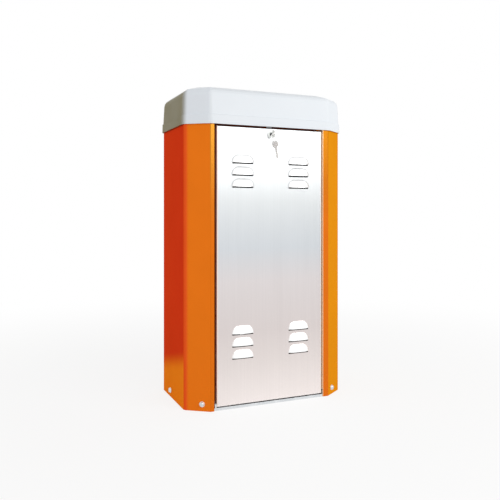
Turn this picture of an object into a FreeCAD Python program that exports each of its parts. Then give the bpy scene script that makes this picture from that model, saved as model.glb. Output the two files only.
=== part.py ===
import FreeCAD, Part
import math
import os

# Sliding gate motor: a free-standing steel cabinet on a slotted base plate, with a worm gearmotor
# inside it, a pinion behind it for the gate's rack, a louvred door in front and a moulded hood.
# Millimetres. The origin is the centre of the anchor slots on the underside of the base plate.
# +X is to the right seen from the door, the door faces -Y and the pinion is at +Y, +Z is up.

V = FreeCAD.Vector
X_AXIS = V(1, 0, 0)
Y_AXIS = V(0, 1, 0)
Z_AXIS = V(0, 0, 1)

# Cabinet plan: a rectangle whose two front corners are cut off by a wide chamfer
FRONT_HALF = 200.0          # half the width of the flat front, to the chamfer's bend
CHAMFER_X = 68.0            # chamfer's run along the front
CHAMFER_Y = 48.0            # chamfer's run along the side
DEPTH = 278.0               # front face to back face
SHEET = 2.0                 # folded steel sheet of the cabinet
SIDE_BEND = 16.0            # outside radius of the chamfer's bend at the side
FRONT_BEND = 6.0            # outside radius of the chamfer's bend at the front
BACK_BEND = 5.0             # outside radius of the rear corners
SHELL_HEIGHT = 869.0        # cabinet sheet, ground to the top frame's upper face
REAR_RETURN = 24.0          # the sides' flange along the back

# Door opening and door
JAMB_MARGIN = 19.5          # chamfer's bend to the right jamb
DOOR_GAP = 1.5              # right jamb to the door's edge
LEFT_SLACK = 8.0            # how much wider the gap is at the left jamb
JAMB_DEPTH = 23.0           # front face to the back of the door stop
STOP_WIDTH = 12.5           # how far the door stop reaches in behind the door
JAMB_FOOT = 24.0            # jamb and stop start this high, over the pivot brackets
DOOR_FOOT = 9.6
DOOR_HEAD_GAP = 19.0        # door's top under the top frame's upper face
DOOR_SHEET = 1.5
DOOR_RECESS = 5.0           # door face behind the front face
DOOR_RETURN = 12.0          # depth of the door's folded edge
DOOR_BEND = 2.5
STIFFENER_INSET = 26.0      # door's edge to the middle of a channel
STIFFENER_WIDTH = 24.0
STIFFENER_DEPTH = 9.5
STIFFENER_FOOT = 40.0
STIFFENER_HEAD_GAP = 38.0

# Louvres pressed out of the door, in two columns of six
LOUVRE_INSET = 84.0         # door's edge to the middle of a column
LOUVRE_WIDTH = 75.0
LOUVRE_HEIGHT = 24.0
LOUVRE_BULGE = 7.5
LOUVRE_PITCH = 36.4
LOUVRE_SLOT = 4.2           # open slot in the sheet under each lip
LOUVRE_END = 3.0            # slot's end inside the louvre's
LOUVRE_ROWS = 3
UPPER_LIP_DROP = 181.0      # door's top to the lip of the lowest louvre in the upper group
LOWER_LIP_Z = 150.5         # lip of the lowest louvre in the lower group

# Door pivot at the foot and lock at the head
PIVOT_RISE = 4.0            # pivot above the door's foot
PIVOT_SETBACK = 2.0         # pivot behind the door's face
PIVOT_R = 2.0
PIVOT_LENGTH = 8.0
PIVOT_PLAY = 0.05
BRACKET_THICK = 5.0
BRACKET_GAP = 1.5           # door's edge to the pivot bracket
LOCK_DROP = 18.5            # lock's centre under the door's top
ROSETTE_R = 12.5
ROSETTE_THICK = 3.0
LOCK_BARREL_R = 9.0
LOCK_BARREL_LENGTH = 18.2   # door's face to the barrel's rear end
LOCK_NUT_FLATS = 22.0
LOCK_NUT_THICK = 4.0
PLUG_R = 6.0
PLUG_PLAY = 0.05
CAM_LENGTH = 27.0
CAM_WIDTH = 12.0
CAM_THICK = 2.0
CAM_GAP = 0.5
KEY_BOW_R = 12.0
KEY_THICK = 2.0
KEY_BLADE_WIDTH = 8.0
KEY_BLADE_LENGTH = 32.0
KEY_HOLE_R = 1.95
KEY_HOLE_OFFSET = 8.5
KEY_STAND_OFF = 1.5         # bow's edge to the rosette
RING_R = 12.0
RING_WIRE_R = 1.0
SPARE_TILT = 11.0           # degrees that the spare key hangs off the vertical
SPARE_TWIST = 25.0          # degrees that its flat side is turned

# Top frame, door seal and keeper
FRAME_WIDTH = 32.0
HEAD_LIP = 24.0             # depth of the lip folded down over the opening
SEAL_GAP = 0.3
SEAL_WIDTH = 10.0
KEEPER_HALF = 9.0
KEEPER_THICK = 1.5

# Hood
HOOD_LAP = 15.0             # how far the hood's skirt comes down the cabinet
HOOD_WALL = 3.0
HOOD_CORNER = 18.0
HOOD_REAR_CORNER = 8.0
HOOD_OVERHANG = 5.5
HOOD_SKIRT = 27.0
HOOD_SHOULDER = 86.0        # skirt's foot to where the wall turns into the roof
HOOD_HEIGHT = 118.0
HOOD_BOSS_R = 7.0
HOOD_BOSS_INSET = 18.0
HOOD_BOSS_FRONT_Y = -62.0
HOOD_BOSS_REAR_Y = 104.0

# Base plate and what fastens the cabinet to it
PLATE = 8.0
PLATE_GAP = 0.3
ANCHOR_INSET = 53.0
ANCHOR_Y = 85.0
ANCHOR_SLOT_R = 6.5
ANCHOR_SLOT_LENGTH = 34.0
CABLE_X = -160.0
CABLE_Y = 20.0
CABLE_HOLE_R = 34.0
GROMMET_R = 30.0
GROMMET_LIP = 4.0
SHELL_SCREW_Z = 21.0
SHELL_SCREW_R = 4.0
SHELL_HEAD_R = 7.0
SHELL_HEAD = 4.4
WASHER_R = 8.5
WASHER_THICK = 1.6
CHAMFER_SCREW = 0.32        # place along the chamfer, from the front bend
SIDE_SCREW_Y = 53.0
BACK_SCREW_X = 170.0
LUG_SIZE = 22.0
LUG_WIDTH = 26.0
BACK_PANEL_GAP = 3.5        # clear of the rear bends' inside
BACK_SCREW_PITCH = 250.0
BACK_SCREW_FIRST = 60.0

# Worm gearbox
MODULE_WORM = 3.0
WHEEL_TEETH = 30
WORM_PITCH_R = 18.0
PRESSURE = 20.0
WORM_BACKLASH = 0.15        # taken off each flank
OUTPUT_Z = 110.0
WHEEL_Y = 62.0
WHEEL_WIDTH = 24.0
WHEEL_HUB_R = 26.0
WHEEL_HUB_WIDTH = 36.0
WORM_LENGTH = 50.0
CHAMBER_R = 51.0
CHAMBER_WALL = 11.0
CHAMBER_FRONT = 27.0
CHAMBER_REAR = 84.0
HOUSING_REAR = 92.0
BOSS_REAR = 110.0
REAR_BOSS_R = 44.0
WORM_BORE_R = 26.0
WORM_WALL = 8.0
WORM_FLOOR = 52.0
FLANGE_R = 70.0
FLANGE_THICK = 12.0
FLANGE_TOP = 190.0
FOOT_THICK = 14.0
FOOT_X0 = -76.0
FOOT_X1 = 116.0
FOOT_Y0 = 18.0
FOOT_Y1 = 106.0
FOOT_BOLT_INSET = 13.0
FOOT_BOLT_R = 5.0
COVER_THICK = 8.0
COVER_BOSS_R = 38.0
COVER_BOSS = 14.0
COVER_SCREWS = 6
COVER_SCREW_CIRCLE = 56.5
COVER_SCREW_R = 2.5
OIL_PLUG_R = 6.0
OIL_PLUG_LEAN = 35.0        # degrees off the crown of the wheel chamber
OIL_PLUG_Y = 42.0
OIL_PLUG_BOSS = 3.0

# Output shaft, its bearings and the pinion for the rack
SHAFT_FRONT_R = 15.0
SHAFT_WHEEL_R = 18.0
SHAFT_REAR_R = 17.5
SHAFT_PINION_R = 15.0
SHAFT_PLAY = 0.03
FRONT_BEARING_R = 31.0
FRONT_BEARING = 16.0
REAR_BEARING_R = 36.0
REAR_BEARING = 17.0
SEAL_THICK = 8.0
PINION_MODULE = 4.0
PINION_TEETH = 20
PINION_WIDTH = 28.0
PINION_START = 146.0
PINION_HUB_R = 28.0
PINION_HUB = 5.0
KEYWAY = 8.0
KEYWAY_DEPTH = 4.0

# Motor on the gearbox
MOTOR_R = 64.0
MOTOR_BORE_R = 56.2
MOTOR_TOP = 378.0
FIN_COUNT = 18
FIN_R = 71.0
FIN_THICK = 2.6
MOTOR_FLANGE = 10.0
MOTOR_BOLT_CIRCLE = 60.0
ROTOR_R = 38.0
AIR_GAP = 0.6
CORE_FOOT = 240.0
CORE_TOP = 340.0
WORM_JOURNAL_R = 12.5
ROTOR_JOURNAL_R = 8.5
ROTOR_BEARING_R = 17.5
END_SHIELD_R = 68.2
COWL_R = 70.0
COWL_WALL = 1.5
COWL_LAP = 4.0              # how far the cowl comes down over the end shield
COWL_HEIGHT = 56.0
COWL_SLOTS = 8
FAN_BLADES = 7
FAN_R = 60.0
FAN_BORE_R = 8.0
FAN_HEIGHT = 20.0
FAN_WEB = 2.5
FAN_CLEARANCE = 18.0        # motor frame's top to the fan
TERMINAL_HALF = 36.0
TERMINAL_HEIGHT = 80.0
TERMINAL_DEPTH = 30.0
TERMINAL_LID = 5.0
TERMINAL_WALL = 3.0
TERMINAL_RISE = 74.0        # motor flange to the terminal box
SADDLE = 6.0

# Manual release lever on the gearbox cover
LEVER_LENGTH = 105.0
LEVER_REST = 225.0          # degrees from +X towards +Z
LEVER_HUB_R = 18.0
LEVER_GRIP_R = 13.0
SPINDLE_R = 8.0

# Limit switch over the gearbox, with a sprung feeler that the rack's stops push aside
SWITCH_X = -40.0
SWITCH_WIDTH = 44.0
SWITCH_FRONT = 66.0
SWITCH_REAR = 118.0
SWITCH_FOOT = 180.0
SWITCH_HEIGHT = 42.0
FEELER_Y = 110.0
FEELER_HUB_R = 6.0
FEELER_REACH = 78.0
FEELER_SPRING = 26.0

# Control plate and what it carries
CONTROL_Y = 28.0            # front face of the control plate
CONTROL_FOOT = 500.0
CONTROL_HEAD_GAP = 34.0
ENCLOSURE_HALF = 140.0
ENCLOSURE_FOOT = 560.0
ENCLOSURE_HEAD_GAP = 35.0
ENCLOSURE_DEPTH = 88.0
ENCLOSURE_WALL = 3.0
LID_THICK = 9.0
BOARD_SIDE_GAP = 30.0
BOARD_FOOT_GAP = 35.0
BOARD_HEAD_GAP = 25.0
BOARD_POST = 18.0
BOARD_THICK = 1.6
ISOLATOR_INSET = 63.0       # control case to the isolator's middle, and to the capacitor's
ISOLATOR_RISE = 10.0        # isolator's middle over the control case's
CAPACITOR_R = 22.0
CAPACITOR_HEIGHT = 90.0
CLAMP_HEIGHT = 18.0
CLAMP_EAR = 14.0

# Worked out from the values above
FRONT_Y = -DEPTH / 2
BACK_Y = DEPTH / 2
HALF_WIDTH = FRONT_HALF + CHAMFER_X
OPENING_HALF = FRONT_HALF - JAMB_MARGIN
OPENING_LEFT = OPENING_HALF + LEFT_SLACK
DOOR_HALF = OPENING_HALF - DOOR_GAP
STIFFENER_X = DOOR_HALF - STIFFENER_INSET
LOUVRE_COLUMN_X = DOOR_HALF - LOUVRE_INSET
HOOD_BOSS_X = HALF_WIDTH - HOOD_BOSS_INSET
ANCHOR_X = HALF_WIDTH - ANCHOR_INSET
ISOLATOR_X = ENCLOSURE_HALF + ISOLATOR_INSET
CAPACITOR_X = -ISOLATOR_X
CHAMFER_TURN = math.atan2(CHAMFER_Y, CHAMFER_X)
DOOR_Y = FRONT_Y + DOOR_RECESS
STOP_Y = FRONT_Y + JAMB_DEPTH - SHEET
PIVOT_Y = DOOR_Y + PIVOT_SETBACK
PIVOT_Z = DOOR_FOOT + PIVOT_RISE
DOOR_TOP = SHELL_HEIGHT - DOOR_HEAD_GAP
STIFFENER_HEAD = DOOR_TOP - STIFFENER_HEAD_GAP
UPPER_LIP_Z = DOOR_TOP - UPPER_LIP_DROP
LOCK_Z = DOOR_TOP - LOCK_DROP
HEAD_LIP_FOOT = SHELL_HEIGHT - HEAD_LIP
HOOD_FOOT = SHELL_HEIGHT - HOOD_LAP
CONTROL_TOP = SHELL_HEIGHT - CONTROL_HEAD_GAP
ENCLOSURE_TOP = CONTROL_TOP - ENCLOSURE_HEAD_GAP
ISOLATOR_Z = (ENCLOSURE_FOOT + ENCLOSURE_TOP) / 2 + ISOLATOR_RISE
WHEEL_R = MODULE_WORM * WHEEL_TEETH / 2
WORM_X = WHEEL_R + WORM_PITCH_R
FAN_FOOT = MOTOR_TOP + FAN_CLEARANCE
COWL_FOOT = MOTOR_TOP - COWL_LAP
COWL_TOP = COWL_FOOT + COWL_HEIGHT
TERMINAL_FOOT = FLANGE_TOP + TERMINAL_RISE
TERMINAL_HEAD = TERMINAL_FOOT + TERMINAL_HEIGHT
WORM_LEAD = math.pi * MODULE_WORM
FRAME_Z = SHELL_HEIGHT - SHEET
PINION_END = PINION_START + PINION_WIDTH
BOW_Y = DOOR_Y - ROSETTE_THICK - KEY_STAND_OFF - KEY_BOW_R
RING_Y = BOW_Y - KEY_HOLE_OFFSET

nodes = {}


def add(name, *shapes):
    """Keep a node: one solid, or a group of like solids."""
    nodes[name] = shapes[0] if len(shapes) == 1 else Part.makeCompound(list(shapes))


def box(x0, x1, y0, y1, z0, z1):
    return Part.makeBox(x1 - x0, y1 - y0, z1 - z0, V(x0, y0, z0))


def rod(radius, start, end):
    """A cylinder from one point to another."""
    axis = V(*end) - V(*start)
    return Part.makeCylinder(radius, axis.Length, V(*start), axis)


def rod_y(radius, x, z, y0, y1):
    return rod(radius, (x, y0, z), (x, y1, z))


def rod_z(radius, x, y, z0, z1):
    return rod(radius, (x, y, z0), (x, y, z1))


def ring_y(outer, inner, x, z, y0, y1):
    return rod_y(outer, x, z, y0, y1).cut(rod_y(inner, x, z, y0 - 1, y1 + 1))


def ring_z(outer, inner, x, y, z0, z1):
    return rod_z(outer, x, y, z0, z1).cut(rod_z(inner, x, y, z0 - 1, z1 + 1))


def fuse(shapes):
    return shapes[0].multiFuse(shapes[1:]).removeSplitter()


def mirrored(shape):
    return shape.mirror(V(0, 0, 0), X_AXIS)


def hex_prism(flats, thick):
    """A hexagonal prism on the XY plane, across flats."""
    corner = flats / math.sqrt(3)
    points = [V(corner * math.cos(math.radians(60 * i)), corner * math.sin(math.radians(60 * i)), 0)
              for i in range(6)]
    return Part.Face(Part.makePolygon(points + points[:1])).extrude(V(0, 0, thick))


def placed(shape, origin, direction):
    """Stand a shape that was built along +Z at a point, along a direction."""
    copy = shape.copy()
    copy.Placement = FreeCAD.Placement(V(*origin), FreeCAD.Rotation(Z_AXIS, V(*direction)))
    return copy


def rounded_wire(points, radii, z):
    """A closed outline whose corners are tangent arcs of the given radii."""
    edges = []
    count = len(points)
    starts = []
    ends = []
    mids = []
    for i in range(count):
        here = V(points[i][0], points[i][1], z)
        before = (V(points[i - 1][0], points[i - 1][1], z) - here).normalize()
        after_point = points[(i + 1) % count]
        after = (V(after_point[0], after_point[1], z) - here).normalize()
        half = before.getAngle(after) / 2
        reach = radii[i] / math.tan(half)
        inward = (before + after).normalize()
        centre = here + inward * (radii[i] / math.sin(half))
        starts.append(here + before * reach)
        ends.append(here + after * reach)
        mids.append(centre - inward * radii[i])
    for i in range(count):
        edges.append(Part.Arc(starts[i], mids[i], ends[i]).toShape())
        edges.append(Part.LineSegment(ends[i], starts[(i + 1) % count]).toShape())
    return Part.Wire(edges)


def plan_wire(inset, z, side_bend, front_bend, back_bend, least=0.5):
    """The cabinet's plan, moved inwards by inset (outwards if negative), with its bends rounded."""
    front_x = FRONT_HALF - inset * math.tan(CHAMFER_TURN / 2)
    side_y = FRONT_Y + CHAMFER_Y + inset * math.tan((math.pi / 2 - CHAMFER_TURN) / 2)
    side_x = HALF_WIDTH - inset
    front_y = FRONT_Y + inset
    back_y = BACK_Y - inset
    points = [(-front_x, front_y), (front_x, front_y), (side_x, side_y), (side_x, back_y),
              (-side_x, back_y), (-side_x, side_y)]
    bends = [front_bend, front_bend, side_bend, back_bend, back_bend, side_bend]
    return rounded_wire(points, [max(bend - inset, least) for bend in bends], z)


def cabinet_prism(inset, z0, z1):
    wire = plan_wire(inset, z0, SIDE_BEND, FRONT_BEND, BACK_BEND)
    return Part.Face(wire).extrude(V(0, 0, z1 - z0))


def chamfer_frame():
    """Centre line of the chamfer's screw on the left: a point on the outer face and the way out."""
    length = math.hypot(CHAMFER_X, CHAMFER_Y)
    point = V(-FRONT_HALF - CHAMFER_SCREW * CHAMFER_X, FRONT_Y + CHAMFER_SCREW * CHAMFER_Y,
              SHELL_SCREW_Z)
    outward = V(-CHAMFER_Y / length, -CHAMFER_X / length, 0)
    return point, outward


def shell_screw_places():
    """Points on the cabinet's outer face, each with the outward direction."""
    point, outward = chamfer_frame()
    places = [(point, outward), (V(-HALF_WIDTH, SIDE_SCREW_Y, SHELL_SCREW_Z), V(-1, 0, 0))]
    for place, way in list(places):
        places.append((V(-place.x, place.y, place.z), V(-way.x, way.y, way.z)))
    for x in (-BACK_SCREW_X, BACK_SCREW_X):
        places.append((V(x, BACK_Y - SHEET, SHELL_SCREW_Z), V(0, 1, 0)))
    return places


def side_panel(opening):
    """Left side in one folded sheet: rear flange, side, chamfer, front flange, jamb and door stop."""
    shell = cabinet_prism(0, 0, SHELL_HEIGHT).cut(cabinet_prism(SHEET, -1, SHELL_HEIGHT + 1))
    inner_back = BACK_Y - SHEET - 0.01
    keep = box(-HALF_WIDTH - 1, -opening, FRONT_Y - 1, inner_back, -1, SHELL_HEIGHT + 1)
    rear = box(-HALF_WIDTH - 1, -HALF_WIDTH + REAR_RETURN, inner_back, BACK_Y + 1, -1, SHELL_HEIGHT + 1)
    folded = shell.common(keep.fuse(rear))
    jamb_x = -opening - SHEET
    jamb = box(jamb_x, -opening, FRONT_Y, STOP_Y + SHEET, JAMB_FOOT, FRAME_Z)
    stop = box(jamb_x, -OPENING_HALF + STOP_WIDTH, STOP_Y, STOP_Y + SHEET, JAMB_FOOT, FRAME_Z)
    panel = fuse([folded, jamb, stop])
    for point, outward in shell_screw_places()[:2]:
        hole = rod(SHELL_SCREW_R + 0.4, tuple(point + outward), tuple(point - outward * 2 * SHEET))
        panel = panel.cut(hole)
    for z in back_screw_heights():
        x = -HALF_WIDTH + REAR_RETURN / 2
        panel = panel.cut(rod_y(2.7, x, z, BACK_Y - 2 * SHEET, BACK_Y + 1))
    return panel


def back_screw_heights():
    heights = []
    z = BACK_SCREW_FIRST
    while z < SHELL_HEIGHT - 20:
        heights.append(z)
        z += BACK_SCREW_PITCH
    return heights


def back_panel():
    """Flat sheet screwed inside the rear flanges, with a window for the pinion and the feeler."""
    half = HALF_WIDTH - SHEET - BACK_PANEL_GAP
    y1 = BACK_Y - SHEET
    sheet = box(-half, half, y1 - SHEET, y1, 0, FRAME_Z)
    window = rounded_wire([(-66, 58), (56, 58), (56, 218), (-66, 218)], [12] * 4, 0)
    window = Part.Face(window).extrude(V(0, 0, 4 * SHEET))
    window.rotate(V(0, 0, 0), X_AXIS, 90)
    window.translate(V(0, y1 + SHEET, 0))
    sheet = sheet.cut(window)
    for z in back_screw_heights():
        for side in (-1, 1):
            x = side * (HALF_WIDTH - REAR_RETURN / 2)
            sheet = sheet.cut(rod_y(2.7, x, z, y1 - 2 * SHEET, y1 + 1))
    for x in (-BACK_SCREW_X, BACK_SCREW_X):
        sheet = sheet.cut(rod_y(SHELL_SCREW_R + 0.4, x, SHELL_SCREW_Z, y1 - 2 * SHEET, y1 + 1))
    return sheet


def back_panel_screws():
    screws = []
    for z in back_screw_heights():
        for side in (-1, 1):
            x = side * (HALF_WIDTH - REAR_RETURN / 2)
            screws.append(placed(hex_bolt(2.5, 8, 2.6, SHEET + 8), (x, BACK_Y, z), (0, 1, 0)))
    return screws


def top_frame():
    """Flat ring that ties the sheets together, with the head of the door opening folded down."""
    gap = SHEET + 0.2
    ring = cabinet_prism(gap, FRAME_Z, SHELL_HEIGHT)
    ring = ring.cut(cabinet_prism(FRAME_WIDTH, FRAME_Z - 1, SHELL_HEIGHT + 1))
    lip_half = OPENING_HALF - STOP_WIDTH
    lip = box(-lip_half, lip_half, STOP_Y, STOP_Y + SHEET, HEAD_LIP_FOOT, SHELL_HEIGHT)
    lip = lip.cut(box(-14, 14, STOP_Y - 1, STOP_Y + SHEET + 1, HEAD_LIP_FOOT - 1, HEAD_LIP_FOOT + 4))
    frame = fuse([ring, lip])
    for x, y in hood_boss_places():
        frame = frame.cut(rod_z(3.3, x, y, FRAME_Z - 1, SHELL_HEIGHT + 1))
    return frame


def hood_boss_places():
    places = []
    for x in (-HOOD_BOSS_X, HOOD_BOSS_X):
        places.append((x, HOOD_BOSS_FRONT_Y))
        places.append((x, HOOD_BOSS_REAR_Y))
    return places


def hood():
    """Moulded hood: a skirt over the cabinet's edge, a ledge, a drafted wall and a low roof."""
    def level(inset, height):
        return plan_wire(inset, HOOD_FOOT + height, HOOD_CORNER, HOOD_CORNER, HOOD_REAR_CORNER, 4.0)
    out = -HOOD_OVERHANG
    wall = HOOD_WALL
    outer = [level(out, 0), level(out + 0.5, HOOD_SKIRT), level(out + 3.3, HOOD_SKIRT + 1.5),
             level(1.0, HOOD_SHOULDER), level(2.8, HOOD_SHOULDER + 8), level(7.0, HOOD_SHOULDER + 15),
             level(14.0, HOOD_SHOULDER + 20.5), level(50.0, HOOD_HEIGHT)]
    inner = [level(out + wall, -1), level(out + 0.5 + wall, HOOD_SKIRT - wall),
             level(out + 3.3 + wall, HOOD_SKIRT + 1.5), level(1.0 + wall, HOOD_SHOULDER - 1),
             level(13.0 + wall, HOOD_SHOULDER + 15), level(50.0, HOOD_HEIGHT - wall)]
    cavity = Part.makeLoft(inner, True, True)
    shell = Part.makeLoft(outer, True, True).cut(cavity)
    boss_top = HOOD_FOOT + HOOD_SHOULDER - 20
    bosses = []
    for x, y in hood_boss_places():
        boss = rod_z(HOOD_BOSS_R, x, y, SHELL_HEIGHT, boss_top)
        wall_x = math.copysign(HALF_WIDTH + 4, x)
        rib = box(min(x, wall_x), max(x, wall_x), y - 1.5, y + 1.5, SHELL_HEIGHT + 3, boss_top)
        rib = rib.common(cavity)
        bosses.append(boss.fuse(rib))
    shell = fuse([shell] + bosses)
    for x, y in hood_boss_places():
        shell = shell.cut(rod_z(2.6, x, y, SHELL_HEIGHT - 1, SHELL_HEIGHT + 20))
    return shell


def hood_screws():
    screws = []
    for x, y in hood_boss_places():
        head = rod_z(6, x, y, FRAME_Z - 4, FRAME_Z)
        screws.append(head.fuse(rod_z(2.5, x, y, FRAME_Z, SHELL_HEIGHT + 16)))
    return screws


def door_seal():
    y0 = DOOR_Y + DOOR_RETURN + SEAL_GAP
    foot = STIFFENER_FOOT
    head = DOOR_TOP + 2.5
    outer = DOOR_HALF - 0.5
    sides = []
    for side in (-1, 1):
        x = sorted((side * outer, side * (outer - SEAL_WIDTH)))
        sides.append(box(x[0], x[1], y0, STOP_Y, foot, head))
    top = box(-outer, outer, y0, STOP_Y, HEAD_LIP_FOOT + 0.5, head)
    return fuse([sides[0], sides[1], top])


def lock_keeper():
    """Small plated strike on the head of the opening, that the lock's cam turns up behind."""
    return box(-KEEPER_HALF, KEEPER_HALF, STOP_Y - KEEPER_THICK, STOP_Y, DOOR_TOP + 3, FRAME_Z - 1)


def louvre_capsule(radius, x, lip_z):
    """Cylinder along X with ball ends; its cut by the door's face is the louvre's outline."""
    sweep = LOUVRE_HEIGHT ** 2 + LOUVRE_BULGE ** 2
    ball = sweep / (2 * LOUVRE_BULGE)
    centre_y = DOOR_Y - LOUVRE_BULGE + ball
    half = LOUVRE_WIDTH / 2 - LOUVRE_HEIGHT
    size = ball - radius
    ends = [Part.makeSphere(size, V(x + side * half, centre_y, lip_z)) for side in (-1, 1)]
    middle = rod(size, (x - half, centre_y, lip_z), (x + half, centre_y, lip_z))
    return middle.multiFuse(ends)


def louvre_places():
    places = []
    for x in (-LOUVRE_COLUMN_X, LOUVRE_COLUMN_X):
        for first in (LOWER_LIP_Z, UPPER_LIP_Z):
            for row in range(LOUVRE_ROWS):
                places.append((x, first + row * LOUVRE_PITCH))
    return places


def door():
    """Stainless door folded on all four edges, with twelve louvres pressed out of its face."""
    block = box(-DOOR_HALF, DOOR_HALF, DOOR_Y, DOOR_Y + DOOR_RETURN, DOOR_FOOT, DOOR_TOP)
    front = [edge for edge in block.Edges if abs(edge.BoundBox.YMax - DOOR_Y) < 0.01]
    block = block.makeFillet(DOOR_BEND, front)
    inner = box(-DOOR_HALF + DOOR_SHEET, DOOR_HALF - DOOR_SHEET, DOOR_Y + DOOR_SHEET,
                DOOR_Y + DOOR_RETURN + 1, DOOR_FOOT + DOOR_SHEET, DOOR_TOP - DOOR_SHEET)
    leaf = block.cut(inner)
    leaf = leaf.cut(rod_y(LOCK_BARREL_R + 0.1, 0, LOCK_Z, DOOR_Y - 1, DOOR_Y + DOOR_SHEET + 1))
    window_half = LOUVRE_WIDTH / 2 + 6
    slot_half = LOUVRE_WIDTH / 2 - LOUVRE_END
    for x, lip_z in louvre_places():
        top = lip_z + LOUVRE_HEIGHT + 6
        behind = box(x - window_half, x + window_half, DOOR_Y - 20, DOOR_Y + DOOR_SHEET, lip_z, top)
        before = box(x - window_half, x + window_half, DOOR_Y - 20, DOOR_Y + 0.01, lip_z, top)
        inside = louvre_capsule(DOOR_SHEET, x, lip_z)
        pressing = louvre_capsule(0, x, lip_z).common(before).cut(inside)
        slot = box(x - slot_half, x + slot_half, DOOR_Y - 1, DOOR_Y + DOOR_SHEET + 1,
                   lip_z - LOUVRE_SLOT, lip_z)
        leaf = leaf.cut(inside.common(behind)).fuse(pressing).cut(slot)
    return leaf.removeSplitter()


def door_stiffeners():
    """Two channels spot-welded inside the door, one beside each column of louvres."""
    channels = []
    y0 = DOOR_Y + DOOR_SHEET
    half = STIFFENER_WIDTH / 2
    for x in (-STIFFENER_X, STIFFENER_X):
        outer = box(x - half, x + half, y0, y0 + STIFFENER_DEPTH, STIFFENER_FOOT, STIFFENER_HEAD)
        hollow = box(x - half + DOOR_SHEET, x + half - DOOR_SHEET, y0 - 1,
                     y0 + STIFFENER_DEPTH - DOOR_SHEET, STIFFENER_FOOT - 1, STIFFENER_HEAD + 1)
        channels.append(outer.cut(hollow))
    return channels


def door_pivots():
    return [rod(PIVOT_R, (side * DOOR_HALF, PIVOT_Y, PIVOT_Z),
                (side * (DOOR_HALF + PIVOT_LENGTH), PIVOT_Y, PIVOT_Z)) for side in (-1, 1)]


def pivot_brackets():
    """Open-topped saddles on the base plate, that the door's two foot pivots drop into."""
    brackets = []
    slot = PIVOT_R + PIVOT_PLAY
    for side in (-1, 1):
        x = sorted((side * (DOOR_HALF + BRACKET_GAP), side * (DOOR_HALF + BRACKET_GAP + BRACKET_THICK)))
        saddle = box(x[0], x[1], FRONT_Y + SHEET + PLATE_GAP, PIVOT_Y + 12, PLATE, PIVOT_Z + 6)
        saddle = saddle.cut(rod(slot, (x[0] - 1, PIVOT_Y, PIVOT_Z), (x[1] + 1, PIVOT_Y, PIVOT_Z)))
        mouth = box(x[0] - 1, x[1] + 1, PIVOT_Y - slot, PIVOT_Y + slot, PIVOT_Z, PIVOT_Z + 7)
        brackets.append(saddle.cut(mouth))
    return brackets


def lock_parts():
    face = DOOR_Y - ROSETTE_THICK
    rear = DOOR_Y + LOCK_BARREL_LENGTH
    rosette = rod_y(ROSETTE_R, 0, LOCK_Z, face, DOOR_Y)
    rim = [edge for edge in rosette.Edges if abs(edge.BoundBox.YMax - face) < 0.01]
    rosette = rosette.makeFillet(1.2, rim)
    body = rosette.fuse(rod_y(LOCK_BARREL_R, 0, LOCK_Z, DOOR_Y, rear))
    body = body.cut(rod_y(PLUG_R + PLUG_PLAY, 0, LOCK_Z, face - 1, rear + 1))
    nut_y = DOOR_Y + DOOR_SHEET
    nut = placed(hex_prism(LOCK_NUT_FLATS, LOCK_NUT_THICK), (0, nut_y, LOCK_Z), (0, 1, 0))
    nut = nut.cut(rod_y(LOCK_BARREL_R + 0.05, 0, LOCK_Z, nut_y - 1, nut_y + LOCK_NUT_THICK + 1))
    plug = rod_y(PLUG_R, 0, LOCK_Z, face + 0.4, rear + CAM_GAP)
    slot_x = KEY_THICK / 2 + 0.2
    slot_z = KEY_BLADE_WIDTH / 2 + 0.2
    plug = plug.cut(box(-slot_x, slot_x, face - 1, rear - 4, LOCK_Z - slot_z, LOCK_Z + slot_z))
    cam_y = rear + CAM_GAP
    arm = box(-CAM_LENGTH + CAM_WIDTH / 2, 0, cam_y, cam_y + CAM_THICK, LOCK_Z - CAM_WIDTH / 2,
              LOCK_Z + CAM_WIDTH / 2)
    tip = rod_y(CAM_WIDTH / 2, -CAM_LENGTH + CAM_WIDTH / 2, LOCK_Z, cam_y, cam_y + CAM_THICK)
    cam = fuse([arm, tip, rod_y(8, 0, LOCK_Z, cam_y, cam_y + CAM_THICK)])
    cam = cam.cut(rod_y(2.5, 0, LOCK_Z, cam_y - 1, cam_y + CAM_THICK + 1))
    screw_end = cam_y + CAM_THICK
    screw = rod_y(4.5, 0, LOCK_Z, screw_end, screw_end + 2.8)
    screw = screw.fuse(rod_y(2.5, 0, LOCK_Z, cam_y, screw_end))
    add("lock_body", body)
    add("lock_nut", nut)
    add("lock_plug", plug)
    add("lock_cam", cam, screw)


def key_blank():
    """Flat key in the YZ plane: bow centred on the origin, blade along +Y, ring hole at -Y."""
    half = KEY_THICK / 2
    bow = rod(KEY_BOW_R, (-half, 0, 0), (half, 0, 0))
    blade = box(-half, half, 0, KEY_BOW_R + KEY_BLADE_LENGTH - 4, -KEY_BLADE_WIDTH / 2, KEY_BLADE_WIDTH / 2)
    tip_y = KEY_BOW_R + KEY_BLADE_LENGTH
    point = Part.makePolygon([V(-half, tip_y - 4, -KEY_BLADE_WIDTH / 2), V(-half, tip_y, -1),
                              V(-half, tip_y, 1), V(-half, tip_y - 4, KEY_BLADE_WIDTH / 2),
                              V(-half, tip_y - 4, -KEY_BLADE_WIDTH / 2)])
    point = Part.Face(point).extrude(V(KEY_THICK, 0, 0))
    blank = fuse([bow, blade, point])
    hole = rod(KEY_HOLE_R, (-half - 1, -KEY_HOLE_OFFSET, 0), (half + 1, -KEY_HOLE_OFFSET, 0))
    blank = blank.cut(hole)
    for i in range(4):
        notch_y = KEY_BOW_R + 9 + 4.6 * i
        notch = box(-half - 1, half + 1, notch_y, notch_y + 2.2, 4 - 1.0 - 0.5 * (i % 2), 5)
        blank = blank.cut(notch)
    return blank


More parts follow.
